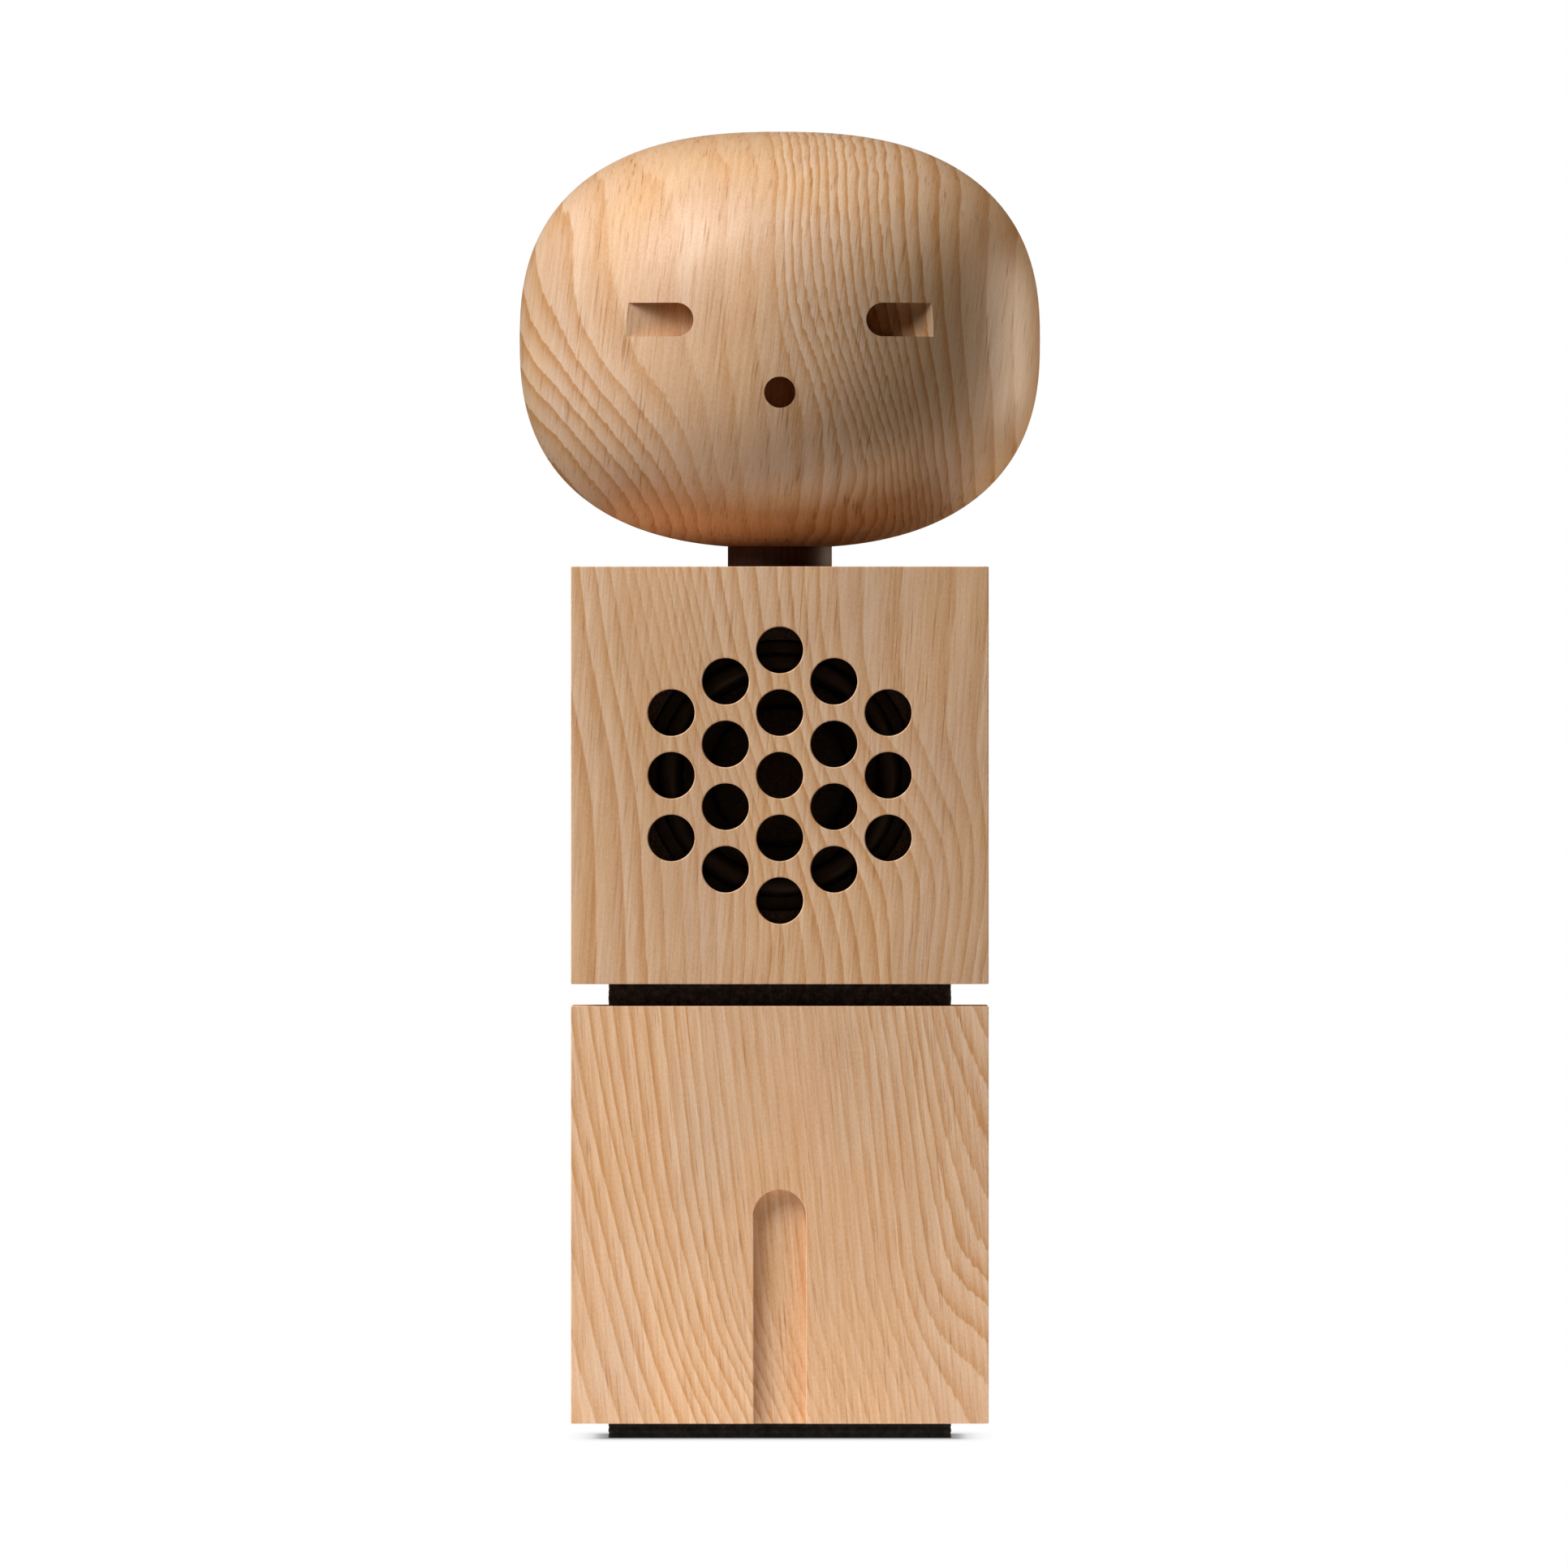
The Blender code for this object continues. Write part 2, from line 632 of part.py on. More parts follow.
def make_basket(finish, driver):
    """Pressed steel frame: a square flange, a tapered wall with four windows and a ring for the motor."""
    bm = prism(rounded(FLANGE_SIDE, FLANGE_SIDE, FLANGE_CORNER), -FLANGE_HEIGHT, 0)
    basket = place("driver_basket", bm, finish, driver)
    cut(basket, "flange_hole_cutter", rod(FLANGE_HOLE, -2 * FLANGE_HEIGHT, FLANGE_HEIGHT, 32), driver)
    sheet = 0.8 * MM
    wide, narrow, depth = 19.9 * MM, 16.5 * MM, 11.0 * MM
    wall = [
        (wide - sheet, -FLANGE_HEIGHT / 2),
        (wide, -FLANGE_HEIGHT / 2),
        (narrow, -depth),
        (narrow, -depth - sheet),
        (11.0 * MM, -depth - sheet),
        (11.0 * MM, -depth),
        (narrow - sheet, -depth),
    ]
    cut(basket, "basket_wall", turned(wall, 32, closed=True), driver, operation="UNION")
    reach = 2.5 * wide
    for name, size in (
        ("window_cutter_x", (reach, 13 * MM, 6 * MM)),
        ("window_cutter_y", (13 * MM, reach, 6 * MM)),
    ):
        cut(basket, name, block(size, (0, 0, -6.2 * MM)), driver)
    spots = corners(*DRIVER_SCREW)
    holes = repeated(lambda: rod(1.2 * MM, -2 * FLANGE_HEIGHT, FLANGE_HEIGHT, 12), spots)
    cut(basket, "flange_screw_cutter", holes, driver)


def make_surround(finish, driver):
    """Half-roll of rubber between the cone's edge and the flange."""
    skin = 0.5 * MM
    base = GAP
    arc = [math.pi * step / 6 for step in range(7)]
    middle, outer, inner = ROLL_MIDDLE, ROLL_RADIUS, ROLL_RADIUS - skin
    over = [(middle - outer * math.cos(a), base + skin + outer * math.sin(a)) for a in arc]
    under = [(middle - inner * math.cos(a), base + inner * math.sin(a)) for a in reversed(arc)]
    lip_in, lip_out = 13.2 * MM, 19.2 * MM
    front_lips = [(lip_in, base), (lip_in, base + skin), *over, (lip_out, base + skin)]
    outline = [*front_lips, (lip_out, base), *under]
    place("surround", turned(outline, 32, closed=True), finish, driver)


def make_diaphragm(finish, driver):
    """Paper cone, dust cap and voice coil: the pieces that travel."""
    skin = 0.5 * MM
    neck, deep = COIL_RADIUS + GAP, 5.2 * MM
    cone = [
        (neck, -deep),
        (CONE_RADIUS, -skin),
        (CONE_RADIUS, 0),
        (CONE_RADIUS - 1.5 * MM, 0),
        (neck, -deep + skin),
    ]
    place("cone", turned(cone, 32, closed=True), finish["paper"], driver)

    rim, rise = COIL_RADIUS, 3.0 * MM
    base = -4.2 * MM
    angles = [math.pi / 2 * step / 4 for step in range(5)]
    outside = [(rim * math.cos(a), base + rise * math.sin(a)) for a in angles[:-1]]
    outside.append((0, base + rise))
    rim, rise = rim - skin, rise - skin
    inside = [(rim * math.cos(a), base + rise * math.sin(a)) for a in angles[:-1]]
    inside.append((0, base + rise))
    shell = turned([*reversed(inside), *outside], 24)
    place("dust_cap", shell, finish["paper"], driver)

    top, wound, bottom = -4.6 * MM, -11.3 * MM, -15.3 * MM
    bore = COIL_RADIUS - 0.25 * MM
    thick = COIL_RADIUS + 0.35 * MM
    coil = [
        (bore, bottom),
        (thick, bottom),
        (thick, wound),
        (COIL_RADIUS, wound),
        (COIL_RADIUS, top),
        (bore, top),
    ]
    place("voice_coil", turned(coil, 24, closed=True), finish["copper"], driver)


def make_spider(finish, driver):
    """Corrugated cloth disc that centres the coil."""
    skin = 0.4 * MM
    inner, outer, middle = COIL_RADIUS + GAP, 15.4 * MM, -10.5 * MM
    waves, steps = 2, 8
    swing = 0.3 * MM
    line = []
    for step in range(steps + 1):
        share = step / steps
        wave = swing * math.sin(math.tau * waves * share)
        line.append((inner + (outer - inner) * share, middle + wave))
    under = [(r, z - skin / 2) for r, z in line]
    over = [(r, z + skin / 2) for r, z in reversed(line)]
    place("spider", turned([*under, *over], 24, closed=True), finish, driver)


def make_motor(finish, driver):
    """Front plate, ring magnet, and back plate with its pole, stacked behind the basket."""
    plate, magnet, back = 2.0 * MM, 5.0 * MM, 2.2 * MM
    outer = 14.5 * MM
    front = -12.1 * MM
    place("top_plate", ring(10.6 * MM, outer, front - plate, front), finish["steel"], driver)
    magnet_front = front - plate - GAP
    body = ring(11.5 * MM, outer, magnet_front - magnet, magnet_front)
    place("magnet", body, finish["ferrite"], driver)
    yoke_front = magnet_front - magnet - GAP
    pole = 9.3 * MM
    rim = outer - 0.5 * MM
    yoke = [
        (0, yoke_front - back),
        (rim, yoke_front - back),
        (rim, yoke_front),
        (pole, yoke_front),
        (pole, front),
        (0, front),
    ]
    place("pole_yoke", turned(yoke, 32), finish["steel"], driver)


def make_loudspeaker(finish, doll, driver):
    make_basket(finish["black_steel"], driver)
    make_surround(finish["rubber"], driver)
    make_diaphragm(finish, driver)
    make_spider(finish["cloth"], driver)
    make_motor(finish, driver)

    bm = prism(rounded(FLANGE_SIDE, FLANGE_SIDE, FLANGE_CORNER), GAP, GAP + GASKET_HEIGHT)
    gasket = place("driver_gasket", bm, finish["foam"], driver)
    reach = (-GASKET_HEIGHT, 2 * GASKET_HEIGHT)
    cut(gasket, "gasket_hole_cutter", rod(GASKET_HOLE, *reach, 32), driver)
    spots = corners(*DRIVER_SCREW)
    holes = repeated(lambda: rod(1.2 * MM, *reach, 8), spots)
    cut(gasket, "gasket_screw_cutter", holes, driver)
    behind = -FLANGE_HEIGHT - GAP
    steel = finish["steel"]
    make = lambda: screw(2.0 * MM, 1.3 * MM, 0.9 * MM, 7.0 * MM)
    place_each("driver_screw", make, spots, steel, driver, behind)
    strip = block((10 * MM, 0.8 * MM, 4.4 * MM))
    place("terminal_strip", strip, finish["circuit"], driver, (0, -20.65 * MM, -3.5 * MM), smooth=False)


# Rear panel and what it carries. Its empty stands in the chest's middle with +Z pointing to the back.


def make_panel(finish, rear):
    """Ash panel that closes the chest, with holes for the button, the light and the socket."""
    inner = BACK - PANEL_HEIGHT
    square = rounded(PANEL_SIDE, PANEL_SIDE, PANEL_SEAT_CORNER, 4)
    panel = place("rear_panel", prism(square, inner, BACK), finish["ash"], rear)
    through = (inner - MM, BACK + MM)
    cut(panel, "button_hole_cutter", rod(BUTTON_RADIUS + GAP, *through), rear, (0, -BUTTON_RISE, 0))
    cut(panel, "light_hole_cutter", rod(1.3 * MM, *through, 16), rear)
    hole_width, hole_height = SOCKET_WIDTH + 2 * GAP, SOCKET_HEIGHT + 2 * GAP
    outline = rounded(hole_width, hole_height, hole_height / 2 - 0.01 * MM, 5)
    cut(panel, "socket_hole_cutter", prism(outline, *through), rear, (0, SOCKET_DROP, 0))

    head, shank, length = 2.2 * MM, 1.0 * MM, 11.5 * MM
    sunk = [
        (0, -MM),
        (head + GAP, -MM),
        (head + GAP, 0),
        (shank + GAP, head - shank),
        (shank + GAP, 2 * PANEL_HEIGHT),
        (0, 2 * PANEL_HEIGHT),
    ]

    spots = corners(*PANEL_SCREW)
    holes = upside_down(repeated(lambda: turned(sunk, 16), spots))
    cut(panel, "panel_hole_cutter", holes, rear, (0, 0, BACK))
    steel = finish["steel"]
    make = lambda: upside_down(countersunk(head, shank, length, 16))
    place_each("panel_screw", make, spots, steel, rear, BACK - FLUSH)
    pilots = repeated(lambda: rod(1.2 * MM, inner - MM, inner + 3 * MM, 8), board_spots())
    cut(panel, "board_pilot_cutter", pilots, rear)

    seat = BACK - PANEL_SEAT_DEPTH
    gasket = place("panel_gasket", prism(square, seat + GAP, inner - GAP), finish["foam"], rear)
    outline = rounded(CHEST_CAVITY + GAP, CHEST_CAVITY + GAP, CHEST_CAVITY_CORNER)
    through = (seat - MM, inner + MM)
    cut(gasket, "panel_gasket_cutter", prism(outline, *through), rear)
    holes = repeated(lambda: rod(1.6 * MM, *through, 8), spots)
    cut(gasket, "panel_gasket_hole_cutter", holes, rear)


def make_button(finish, rear, axis):
    """Push button, held behind the panel by its flange. It travels BUTTON_PROUD towards the switch."""
    inner = BACK - PANEL_HEIGHT
    flange = inner - GAP
    edge = 0.3 * MM
    face = BACK + BUTTON_PROUD
    outline = [
        (0, flange - MM),
        (BUTTON_RADIUS + MM, flange - MM),
        (BUTTON_RADIUS + MM, flange),
        (BUTTON_RADIUS, flange),
        (BUTTON_RADIUS, face - edge),
        (BUTTON_RADIUS - edge, face),
        (0, face),
    ]
    place("power_button", turned(outline, 32), finish["plastic"], axis, (0, 0, -BACK))
    board = BOARD_BACK + GAP
    size = 6 * MM
    body = 1.1 * MM
    plunger = flange - MM - BUTTON_PROUD - GAP - board
    bm = block((size, size, body), (0, 0, body / 2))
    switch = place("tact_switch", bm, finish["chip"], rear, (0, -BUTTON_RISE, board), smooth=False)
    cut(switch, "plunger", rod(1.2 * MM, body / 2, plunger, 12), rear, (0, -BUTTON_RISE, board), "UNION")


def make_socket(finish, rear):
    """Charging socket: a shell with round ends and a tongue, standing on the board."""
    mouth = BACK - 0.4 * MM
    bottom = BOARD_BACK + GAP
    end = SOCKET_HEIGHT / 2 - 0.01 * MM
    at = (0, SOCKET_DROP, 0)
    shell = prism(rounded(SOCKET_WIDTH, SOCKET_HEIGHT, end, 4), bottom, mouth)
    socket = place("charging_socket", shell, finish["steel"], rear, at)
    wall = 0.4 * MM
    floor = mouth - 6.5 * MM
    hollow = rounded(SOCKET_WIDTH - 2 * wall, SOCKET_HEIGHT - 2 * wall, end - wall, 4)
    cut(socket, "socket_hollow_cutter", prism(hollow, floor, mouth + MM), rear, at)
    tongue = block((6.7 * MM, 0.7 * MM, 6.5 * MM), (0, 0, floor + 2.25 * MM))
    cut(socket, "socket_tongue", tongue, rear, at, "UNION")


def board_spots():
    return corners(*BOARD_SCREW)[::2]


def make_board(finish, rear):
    front = BOARD_BACK - BOARD_THICK
    sheet = prism(rounded(BOARD_WIDTH, BOARD_HEIGHT, 2 * MM, 3), front, BOARD_BACK)
    board = place("main_board", sheet, finish["circuit"], rear)
    spots = board_spots()
    holes = repeated(lambda: rod(1.2 * MM, front - MM, BOARD_BACK + MM, 12), spots)
    cut(board, "board_hole_cutter", holes, rear)
    top = BACK - PANEL_HEIGHT - GAP
    make = lambda: ring(1.2 * MM, 2.2 * MM, BOARD_BACK + GAP, top, 12)
    place_each("board_standoff", make, spots, finish["brass"], rear)
    rest = front - GAP
    make = lambda: screw(1.9 * MM, 1.2 * MM, 0.9 * MM, 8.4 * MM)
    place_each("board_screw", make, spots, finish["steel"], rear, rest)

    for name, kind, (x, y), (width, height, thick) in (
        ("radio_module", "steel", (8 * MM, -6 * MM), (13 * MM, 11 * MM, 2.2 * MM)),
        ("amplifier_chip", "chip", (-8 * MM, -3 * MM), (7 * MM, 7 * MM, 1.2 * MM)),
        ("battery_connector", "nylon", (9 * MM, 13.4 * MM), (6.5 * MM, 4.0 * MM, 4.6 * MM)),
        ("speaker_connector", "nylon", (-9 * MM, 13.4 * MM), (6.5 * MM, 4.0 * MM, 4.6 * MM)),
    ):
        bm = block((width, height, thick), (x, y, rest - thick / 2))
        place(name, bm, finish[kind], rear, smooth=False)

    light = rod(MM, BOARD_BACK + GAP, BACK - FLUSH, 16)
    place("status_light", light, finish["acrylic"], rear)


def make_cables(finish, doll, tube_bottom, tube_top, cell_top):
    """The battery cable climbs the waist tube and the speaker cable rounds its nut, to the board."""
    lane = 2.0 * MM  # the battery cable keeps to the rear of the tube
    plug_front = BOARD_BACK - BOARD_THICK - GAP - 4.6 * MM - GAP
    plug_height = CHEST_MIDDLE - 13.4 * MM
    x = 9 * MM
    route = [
        (0, lane, cell_top + GAP),
        (0, lane, tube_bottom),
        (0, lane, (tube_bottom + tube_top) / 2),
        (0, lane, tube_top - 3 * MM),
        (0, lane, tube_top + 0.8 * MM),
        (0.3 * x, lane + 2.5 * MM, tube_top + 3.4 * MM),
        (0.9 * x, lane + 8.5 * MM, plug_height + 0.4 * MM),
        (x, plug_front, plug_height),
    ]
    cable("battery_cable", route, 1.0 * MM, finish["rubber"], doll)

    floor = CHEST_MIDDLE - CHEST_CAVITY / 2
    route = [
        (-3 * MM, -14.9 * MM, floor + 2.05 * MM),
        (-3.2 * MM, -13.4 * MM, floor + 2.0 * MM),
        (-5.8 * MM, -11.4 * MM, floor + 1.9 * MM),
        (-10.5 * MM, -9.5 * MM, floor + 1.7 * MM),
        (-13.2 * MM, -3 * MM, floor + 1.6 * MM),
        (-13 * MM, 4 * MM, floor + 2.4 * MM),
        (-11 * MM, 9.5 * MM, floor + 6 * MM),
        (-9.3 * MM, plug_front - 1.5 * MM, plug_height - 0.3 * MM),
        (-x, plug_front, plug_height),
    ]
    cable("speaker_cable", route, 0.9 * MM, finish["rubber"], doll)


def main():
    clear_scene()
    finish = make_materials()
    doll = empty("doll", (0, 0, 0))
    head_axis = empty("head_axis", (0, 0, HEAD_BOTTOM), parent=doll)
    flange_front = FACE + GRILLE_WALL + GAP + GASKET_HEIGHT + GAP
    driver = empty("driver_axis", (0, flange_front, CHEST_MIDDLE), (math.pi / 2, 0, 0), doll)
    rear = empty("rear_axis", (0, 0, CHEST_MIDDLE), (-math.pi / 2, 0, 0), doll)
    button_axis = empty("button_axis", (0, -BUTTON_RISE, BACK), parent=rear)

    make_head(finish["ash"], head_axis)
    make_chest(finish["ash"], doll)
    make_legs(finish["ash"], doll)
    floor = make_pads(finish["felt"], finish["plywood"], finish["steel"], doll)
    cell_top = make_battery(finish, floor, doll)
    tube_bottom, tube_top = make_waist_tube(finish["steel"], doll)
    make_neck(finish, doll, head_axis)
    make_loudspeaker(finish, doll, driver)
    make_panel(finish, rear)
    make_button(finish, rear, button_axis)
    make_socket(finish, rear)
    make_board(finish, rear)
    make_cables(finish, doll, tube_bottom, tube_top, cell_top)


main()
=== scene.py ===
"""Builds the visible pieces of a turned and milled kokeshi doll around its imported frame.

Three pieces of oiled ash stand on black felt, with a small loudspeaker in the chest. The file is
laid out as an add-on: sizes and colours are properties, and each group of pieces has an operator.
"""

import json
import math
import random

import bmesh
import bpy
from bpy.props import FloatProperty, IntProperty, PointerProperty, StringProperty
from bpy.types import Operator, Panel, PropertyGroup
from mathutils import Matrix, Vector


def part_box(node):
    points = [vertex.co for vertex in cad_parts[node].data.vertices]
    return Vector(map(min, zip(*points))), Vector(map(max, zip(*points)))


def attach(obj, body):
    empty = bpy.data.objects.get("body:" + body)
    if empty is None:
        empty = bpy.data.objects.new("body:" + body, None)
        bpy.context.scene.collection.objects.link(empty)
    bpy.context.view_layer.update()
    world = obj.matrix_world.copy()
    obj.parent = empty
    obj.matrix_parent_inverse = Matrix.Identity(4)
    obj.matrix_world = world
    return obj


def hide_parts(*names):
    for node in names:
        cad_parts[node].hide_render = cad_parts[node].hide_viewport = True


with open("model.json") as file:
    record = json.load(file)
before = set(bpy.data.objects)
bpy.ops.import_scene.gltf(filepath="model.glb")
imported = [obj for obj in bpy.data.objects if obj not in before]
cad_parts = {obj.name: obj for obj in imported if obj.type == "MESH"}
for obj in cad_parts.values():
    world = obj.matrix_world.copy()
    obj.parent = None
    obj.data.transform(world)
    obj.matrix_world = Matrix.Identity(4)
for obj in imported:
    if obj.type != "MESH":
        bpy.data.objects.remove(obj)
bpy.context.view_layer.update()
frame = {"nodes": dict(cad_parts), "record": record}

bl_info = {
    "name": "Kokeshi Doll",
    "version": (1, 0, 0),
    "blender": (4, 5, 0),
    "location": "View3D > Sidebar > Doll",
    "description": "Makes the visible pieces, materials and studio of a wooden doll",
    "category": "Object",
}

MM = 0.001
GAP = 0.3 * MM  # between pieces that touch
PAST = 4 * MM  # how far a cutter runs past the face that it opens
PAD_CORNER = 1.2 * MM  # radius at the corners of the seats for the pads
PILOT = 1.2 * MM  # radius of the hole that a small screw bites in
BOLT_BORE = 3.1 * MM  # radius of the hole round the head's pivot bolt


def middle(node):
    low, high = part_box(node)
    return (low + high) / 2


HEAD_LOW, HEAD_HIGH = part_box("head")
CHEST_LOW, CHEST_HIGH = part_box("chest_block")
LEGS_LOW, LEGS_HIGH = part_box("leg_block")
CHEST = middle("chest_block")
LEGS = middle("leg_block")
DRIVER = Vector((0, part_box("driver_basket")[0].y, CHEST.z))  # middle of the flange's front


# Properties


def length(name, description, default, **limits):
    return FloatProperty(name=name, description=description, default=default, unit="LENGTH", **limits)


def power(name, description, default):
    return FloatProperty(name=name, description=description, default=default, unit="POWER")


def tone(name, description, default):
    return StringProperty(name=name, description="sRGB hex colour of " + description, default=default)


class DollSizes(PropertyGroup):
    arris: length(
        "Block arris", "Radius sanded on the edges of both blocks", 0.18 * MM, min=0.05 * MM, max=2 * MM
    )
    rim: length(
        "Hole rim",
        "Width of the chamfer on the grille, the slot, the eyes and the mouth",
        0.13 * MM,
        min=0.02 * MM,
        max=1 * MM,
    )
    head_height: length("Head height", "Height of the head's curve, before its seat is bored", 60 * MM)
    head_power: FloatProperty(
        name="Head power",
        description="Power of the superellipse in the head's side view: 2 is an ellipse",
        default=2.5,
        min=2.0,
        max=4.0,
    )
    eye_height: length("Eye height", "Height of each eye slot, and the width of its round end", 4.85 * MM)
    eye_inner: length("Eye inner end", "From the middle of the face to each eye's round end", 12.4 * MM)
    eye_rise: length("Eye rise", "Height of the eyes above the middle of the head", 2.7 * MM)
    eye_floor: length("Eye floor", "Distance of the eyes' flat floor from the head's axis", 30.3 * MM)
    mouth_radius: length("Mouth radius", "Radius of the drilled mouth", 2.25 * MM)
    mouth_drop: length("Mouth drop", "Depth of the mouth below the middle of the head", 7.75 * MM)
    mouth_floor: length("Mouth floor", "Distance of the mouth's floor from the head's axis", 30.5 * MM)
    hole_radius: length("Grille hole radius", "Radius of each hole in the grille", 3.36 * MM)
    hole_pitch: length("Grille pitch", "Distance between neighbouring holes", 9.0 * MM)
    hole_rings: IntProperty(
        name="Grille rings", description="Rings of holes round the middle one", default=2, min=1, max=4
    )
    slot_width: length("Leg slot width", "Width of the slot between the legs", 7.5 * MM)
    slot_height: length("Leg slot height", "Height of its round top above the block's underside", 33.6 * MM)
    slot_depth: length("Leg slot depth", "Depth of the slot", 1.9 * MM)


class DollFinish(PropertyGroup):
    ash_light: tone("Ash, pale wood", "the wood between the rings", "#E4C4A1")
    ash_dark: tone("Ash, ring edge", "a ring's dense edge", "#C6935F")
    ash_pore: tone("Ash, pores", "the open pores", "#A8764A")
    oak: tone("Smoked oak", "the collar", "#6E4C3D")
    felt: tone("Felt", "the foot", "#191715")
    # Painted light: the waist's felt is a lighter copy of the foot's, for the shade in the gap at the
    # waist.
    felt_waist_painted_light: tone("Waist felt", "the waist", "#40434A")
    oil_roughness: FloatProperty(
        name="Oil roughness",
        description="Roughness of the rubbed oil finish on the ash",
        default=0.43,
        min=0.1,
        max=1.0,
    )


class DollStage(PropertyGroup):
    camera_distance: length("Camera distance", "Distance of the long lens from the doll's axis", 9.0)
    frame_width: length("Frame width", "Width of the picture at the doll's axis", 226.0 * MM)
    camera_height: length("Camera height", "Height of the camera above the floor", 94.0 * MM)
    key_power: power("Key power", "Power of the soft box at the upper left", 30.7)
    side_power: power("Side power", "Power of the lower box on the left", 3.3)
    top_power: power("Top power", "Power of the overhead soft box", 1.5)
    rim_power: power("Rim power", "Power of the box behind, on the right", 5.0)
    floor_glow: FloatProperty(
        name="Floor glow", description="Radiance of the lit table top round the foot", default=1.38
    )
    wide_glow: FloatProperty(
        name="Wide glow", description="Radiance of the dimmer table top further out", default=0.3
    )
    # The shade round the foot is painted into the table's glow; these two set its size.
    painted_shade_reach: length("Shade reach", "How far the soft shade reaches sideways from the foot", 7 * MM)
    painted_shade_stretch: FloatProperty(
        name="Shade stretch",
        description="How many times further the shade reaches in front and behind than sideways",
        default=9.0,
    )


# Shapes


def spun(outline, steps=96, closed=False):
    """Turns (radius, height) points about Z. A closed outline makes a ring; an open one ends on Z."""
    bm = bmesh.new()
    points = [bm.verts.new((radius, 0, height)) for radius, height in outline]
    edges = [bm.edges.new(pair) for pair in zip(points, points[1:])]
    if closed:
        edges.append(bm.edges.new((points[-1], points[0])))
    bmesh.ops.spin(
        bm,
        geom=points + edges,
        cent=(0, 0, 0),
        axis=(0, 0, 1),
        angle=math.tau,
        steps=steps,
        use_merge=True,
    )
    bmesh.ops.remove_doubles(bm, verts=bm.verts, dist=1e-7)
    bmesh.ops.recalc_face_normals(bm, faces=bm.faces)
    return bm


def rod(radius, bottom, top, steps=48):
    return spun([(0, bottom), (radius, bottom), (radius, top), (0, top)], steps)


def slab(outline, bottom, top, lid=None):
    """Extrudes a closed outline of (x, y) points upwards, to a second outline if there is one."""
    bm = bmesh.new()
    face = bm.faces.new([bm.verts.new((x, y, bottom)) for x, y in outline])
    grown = bmesh.ops.extrude_face_region(bm, geom=[face])
    lifted = [v for v in grown["geom"] if isinstance(v, bmesh.types.BMVert)]
    ends = {(round(x, 7), round(y, 7)): end for (x, y), end in zip(outline, lid or outline)}
    for vert in lifted:
        vert.co = (*ends[round(vert.co.x, 7), round(vert.co.y, 7)], top)
    bmesh.ops.recalc_face_normals(bm, faces=bm.faces)
    return bm


def rounded(width, height, corner, steps=10):
    """Outline of a rectangle with round corners."""
    points = []
    for turn, (sx, sy) in enumerate(((1, 1), (-1, 1), (-1, -1), (1, -1))):
        centre = Vector((sx * (width / 2 - corner), sy * (height / 2 - corner)))
        for step in range(steps + 1):
            angle = math.pi / 2 * (turn + step / steps)
            points.append(centre + corner * Vector((math.cos(angle), math.sin(angle))))
    return points


def arc(centre, radius, start, end, steps=6):
    """Points round part of a circle in a spun outline. Angles are in degrees, from the +radius side."""
    angles = [math.radians(start + (end - start) * step / steps) for step in range(steps + 1)]
    return [(centre[0] + radius * math.cos(a), centre[1] + radius * math.sin(a)) for a in angles]


def moved(bm, offset):
    bmesh.ops.translate(bm, verts=bm.verts, vec=offset)
    return bm


def turned(bm, degrees, axis):
    bmesh.ops.rotate(bm, verts=bm.verts, matrix=Matrix.Rotation(math.radians(degrees), 3, axis))
    return bm


def to_front(bm, centre):
    """Turns a shape modelled up +Z so that +Z points out of the doll's face, -Y, then places it."""
    return moved(turned(bm, 90, "X"), centre)


def to_back(bm, centre):
    """Turns a shape modelled up +Z so that +Z points out of the doll's back, +Y, and +Y down."""
    return moved(turned(bm, -90, "X"), centre)


def joined(shapes):
    whole = bmesh.new()
    for shape in shapes:
        mesh = bpy.data.meshes.new("joined")
        shape.to_mesh(mesh)
        shape.free()
        whole.from_mesh(mesh)
        bpy.data.meshes.remove(mesh)
    return whole


def softened(bm, radius, segments=3, angle=50):
    """Rounds every edge sharper than the angle."""
    sharp = [e for e in bm.edges if e.is_manifold and e.calc_face_angle(0) > math.radians(angle)]
    bmesh.ops.bevel(
        bm,
        geom=sharp,
        offset=radius,
        segments=segments,
        profile=0.5,
        affect="EDGES",
        material=-1,
        clamp_overlap=True,
    )
    return bm


def as_object(name, bm):
    mesh = bpy.data.meshes.new(name)
    bm.to_mesh(mesh)
    bm.free()
    made = bpy.data.objects.new(name, mesh)
    bpy.context.scene.collection.objects.link(made)
    return made


def carved(bm, cutters, operation="DIFFERENCE"):
    """Cuts shapes out of a shape, one after another, and returns the result."""
    piece = as_object("blank", bm)
    tools = [as_object("tool", cutter) for cutter in cutters]
    for tool in tools:
        cut = piece.modifiers.new(tool.name, "BOOLEAN")
        cut.operation = operation
        cut.solver = "EXACT"
        cut.object = tool
    evaluated = piece.evaluated_get(bpy.context.evaluated_depsgraph_get())
    result = bmesh.new()
    result.from_mesh(evaluated.data)
    for used in (piece, *tools):
        mesh = used.data
        bpy.data.objects.remove(used)
        bpy.data.meshes.remove(mesh)
    return result


def finish_piece(name, bm, finish, stands_for, body="doll", angle=30):
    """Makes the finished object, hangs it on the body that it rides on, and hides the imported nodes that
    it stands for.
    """
    made = as_object(name, bm)
    made.data.shade_smooth()
    made.data.set_sharp_from_angle(angle=math.radians(angle))
    made.data.materials.append(finish)
    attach(made, body)
    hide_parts(*stands_for)
    return made


# Materials


def linear(colour, share=1.0):
    """Linear RGBA from an sRGB hex colour, lightened or darkened by a share."""
    channels = [int(colour[i : i + 2], 16) / 255 for i in (1, 3, 5)]
    channels = [c / 12.92 if c <= 0.04045 else ((c + 0.055) / 1.055) ** 2.4 for c in channels]
    return (*[c * share for c in channels], 1.0)


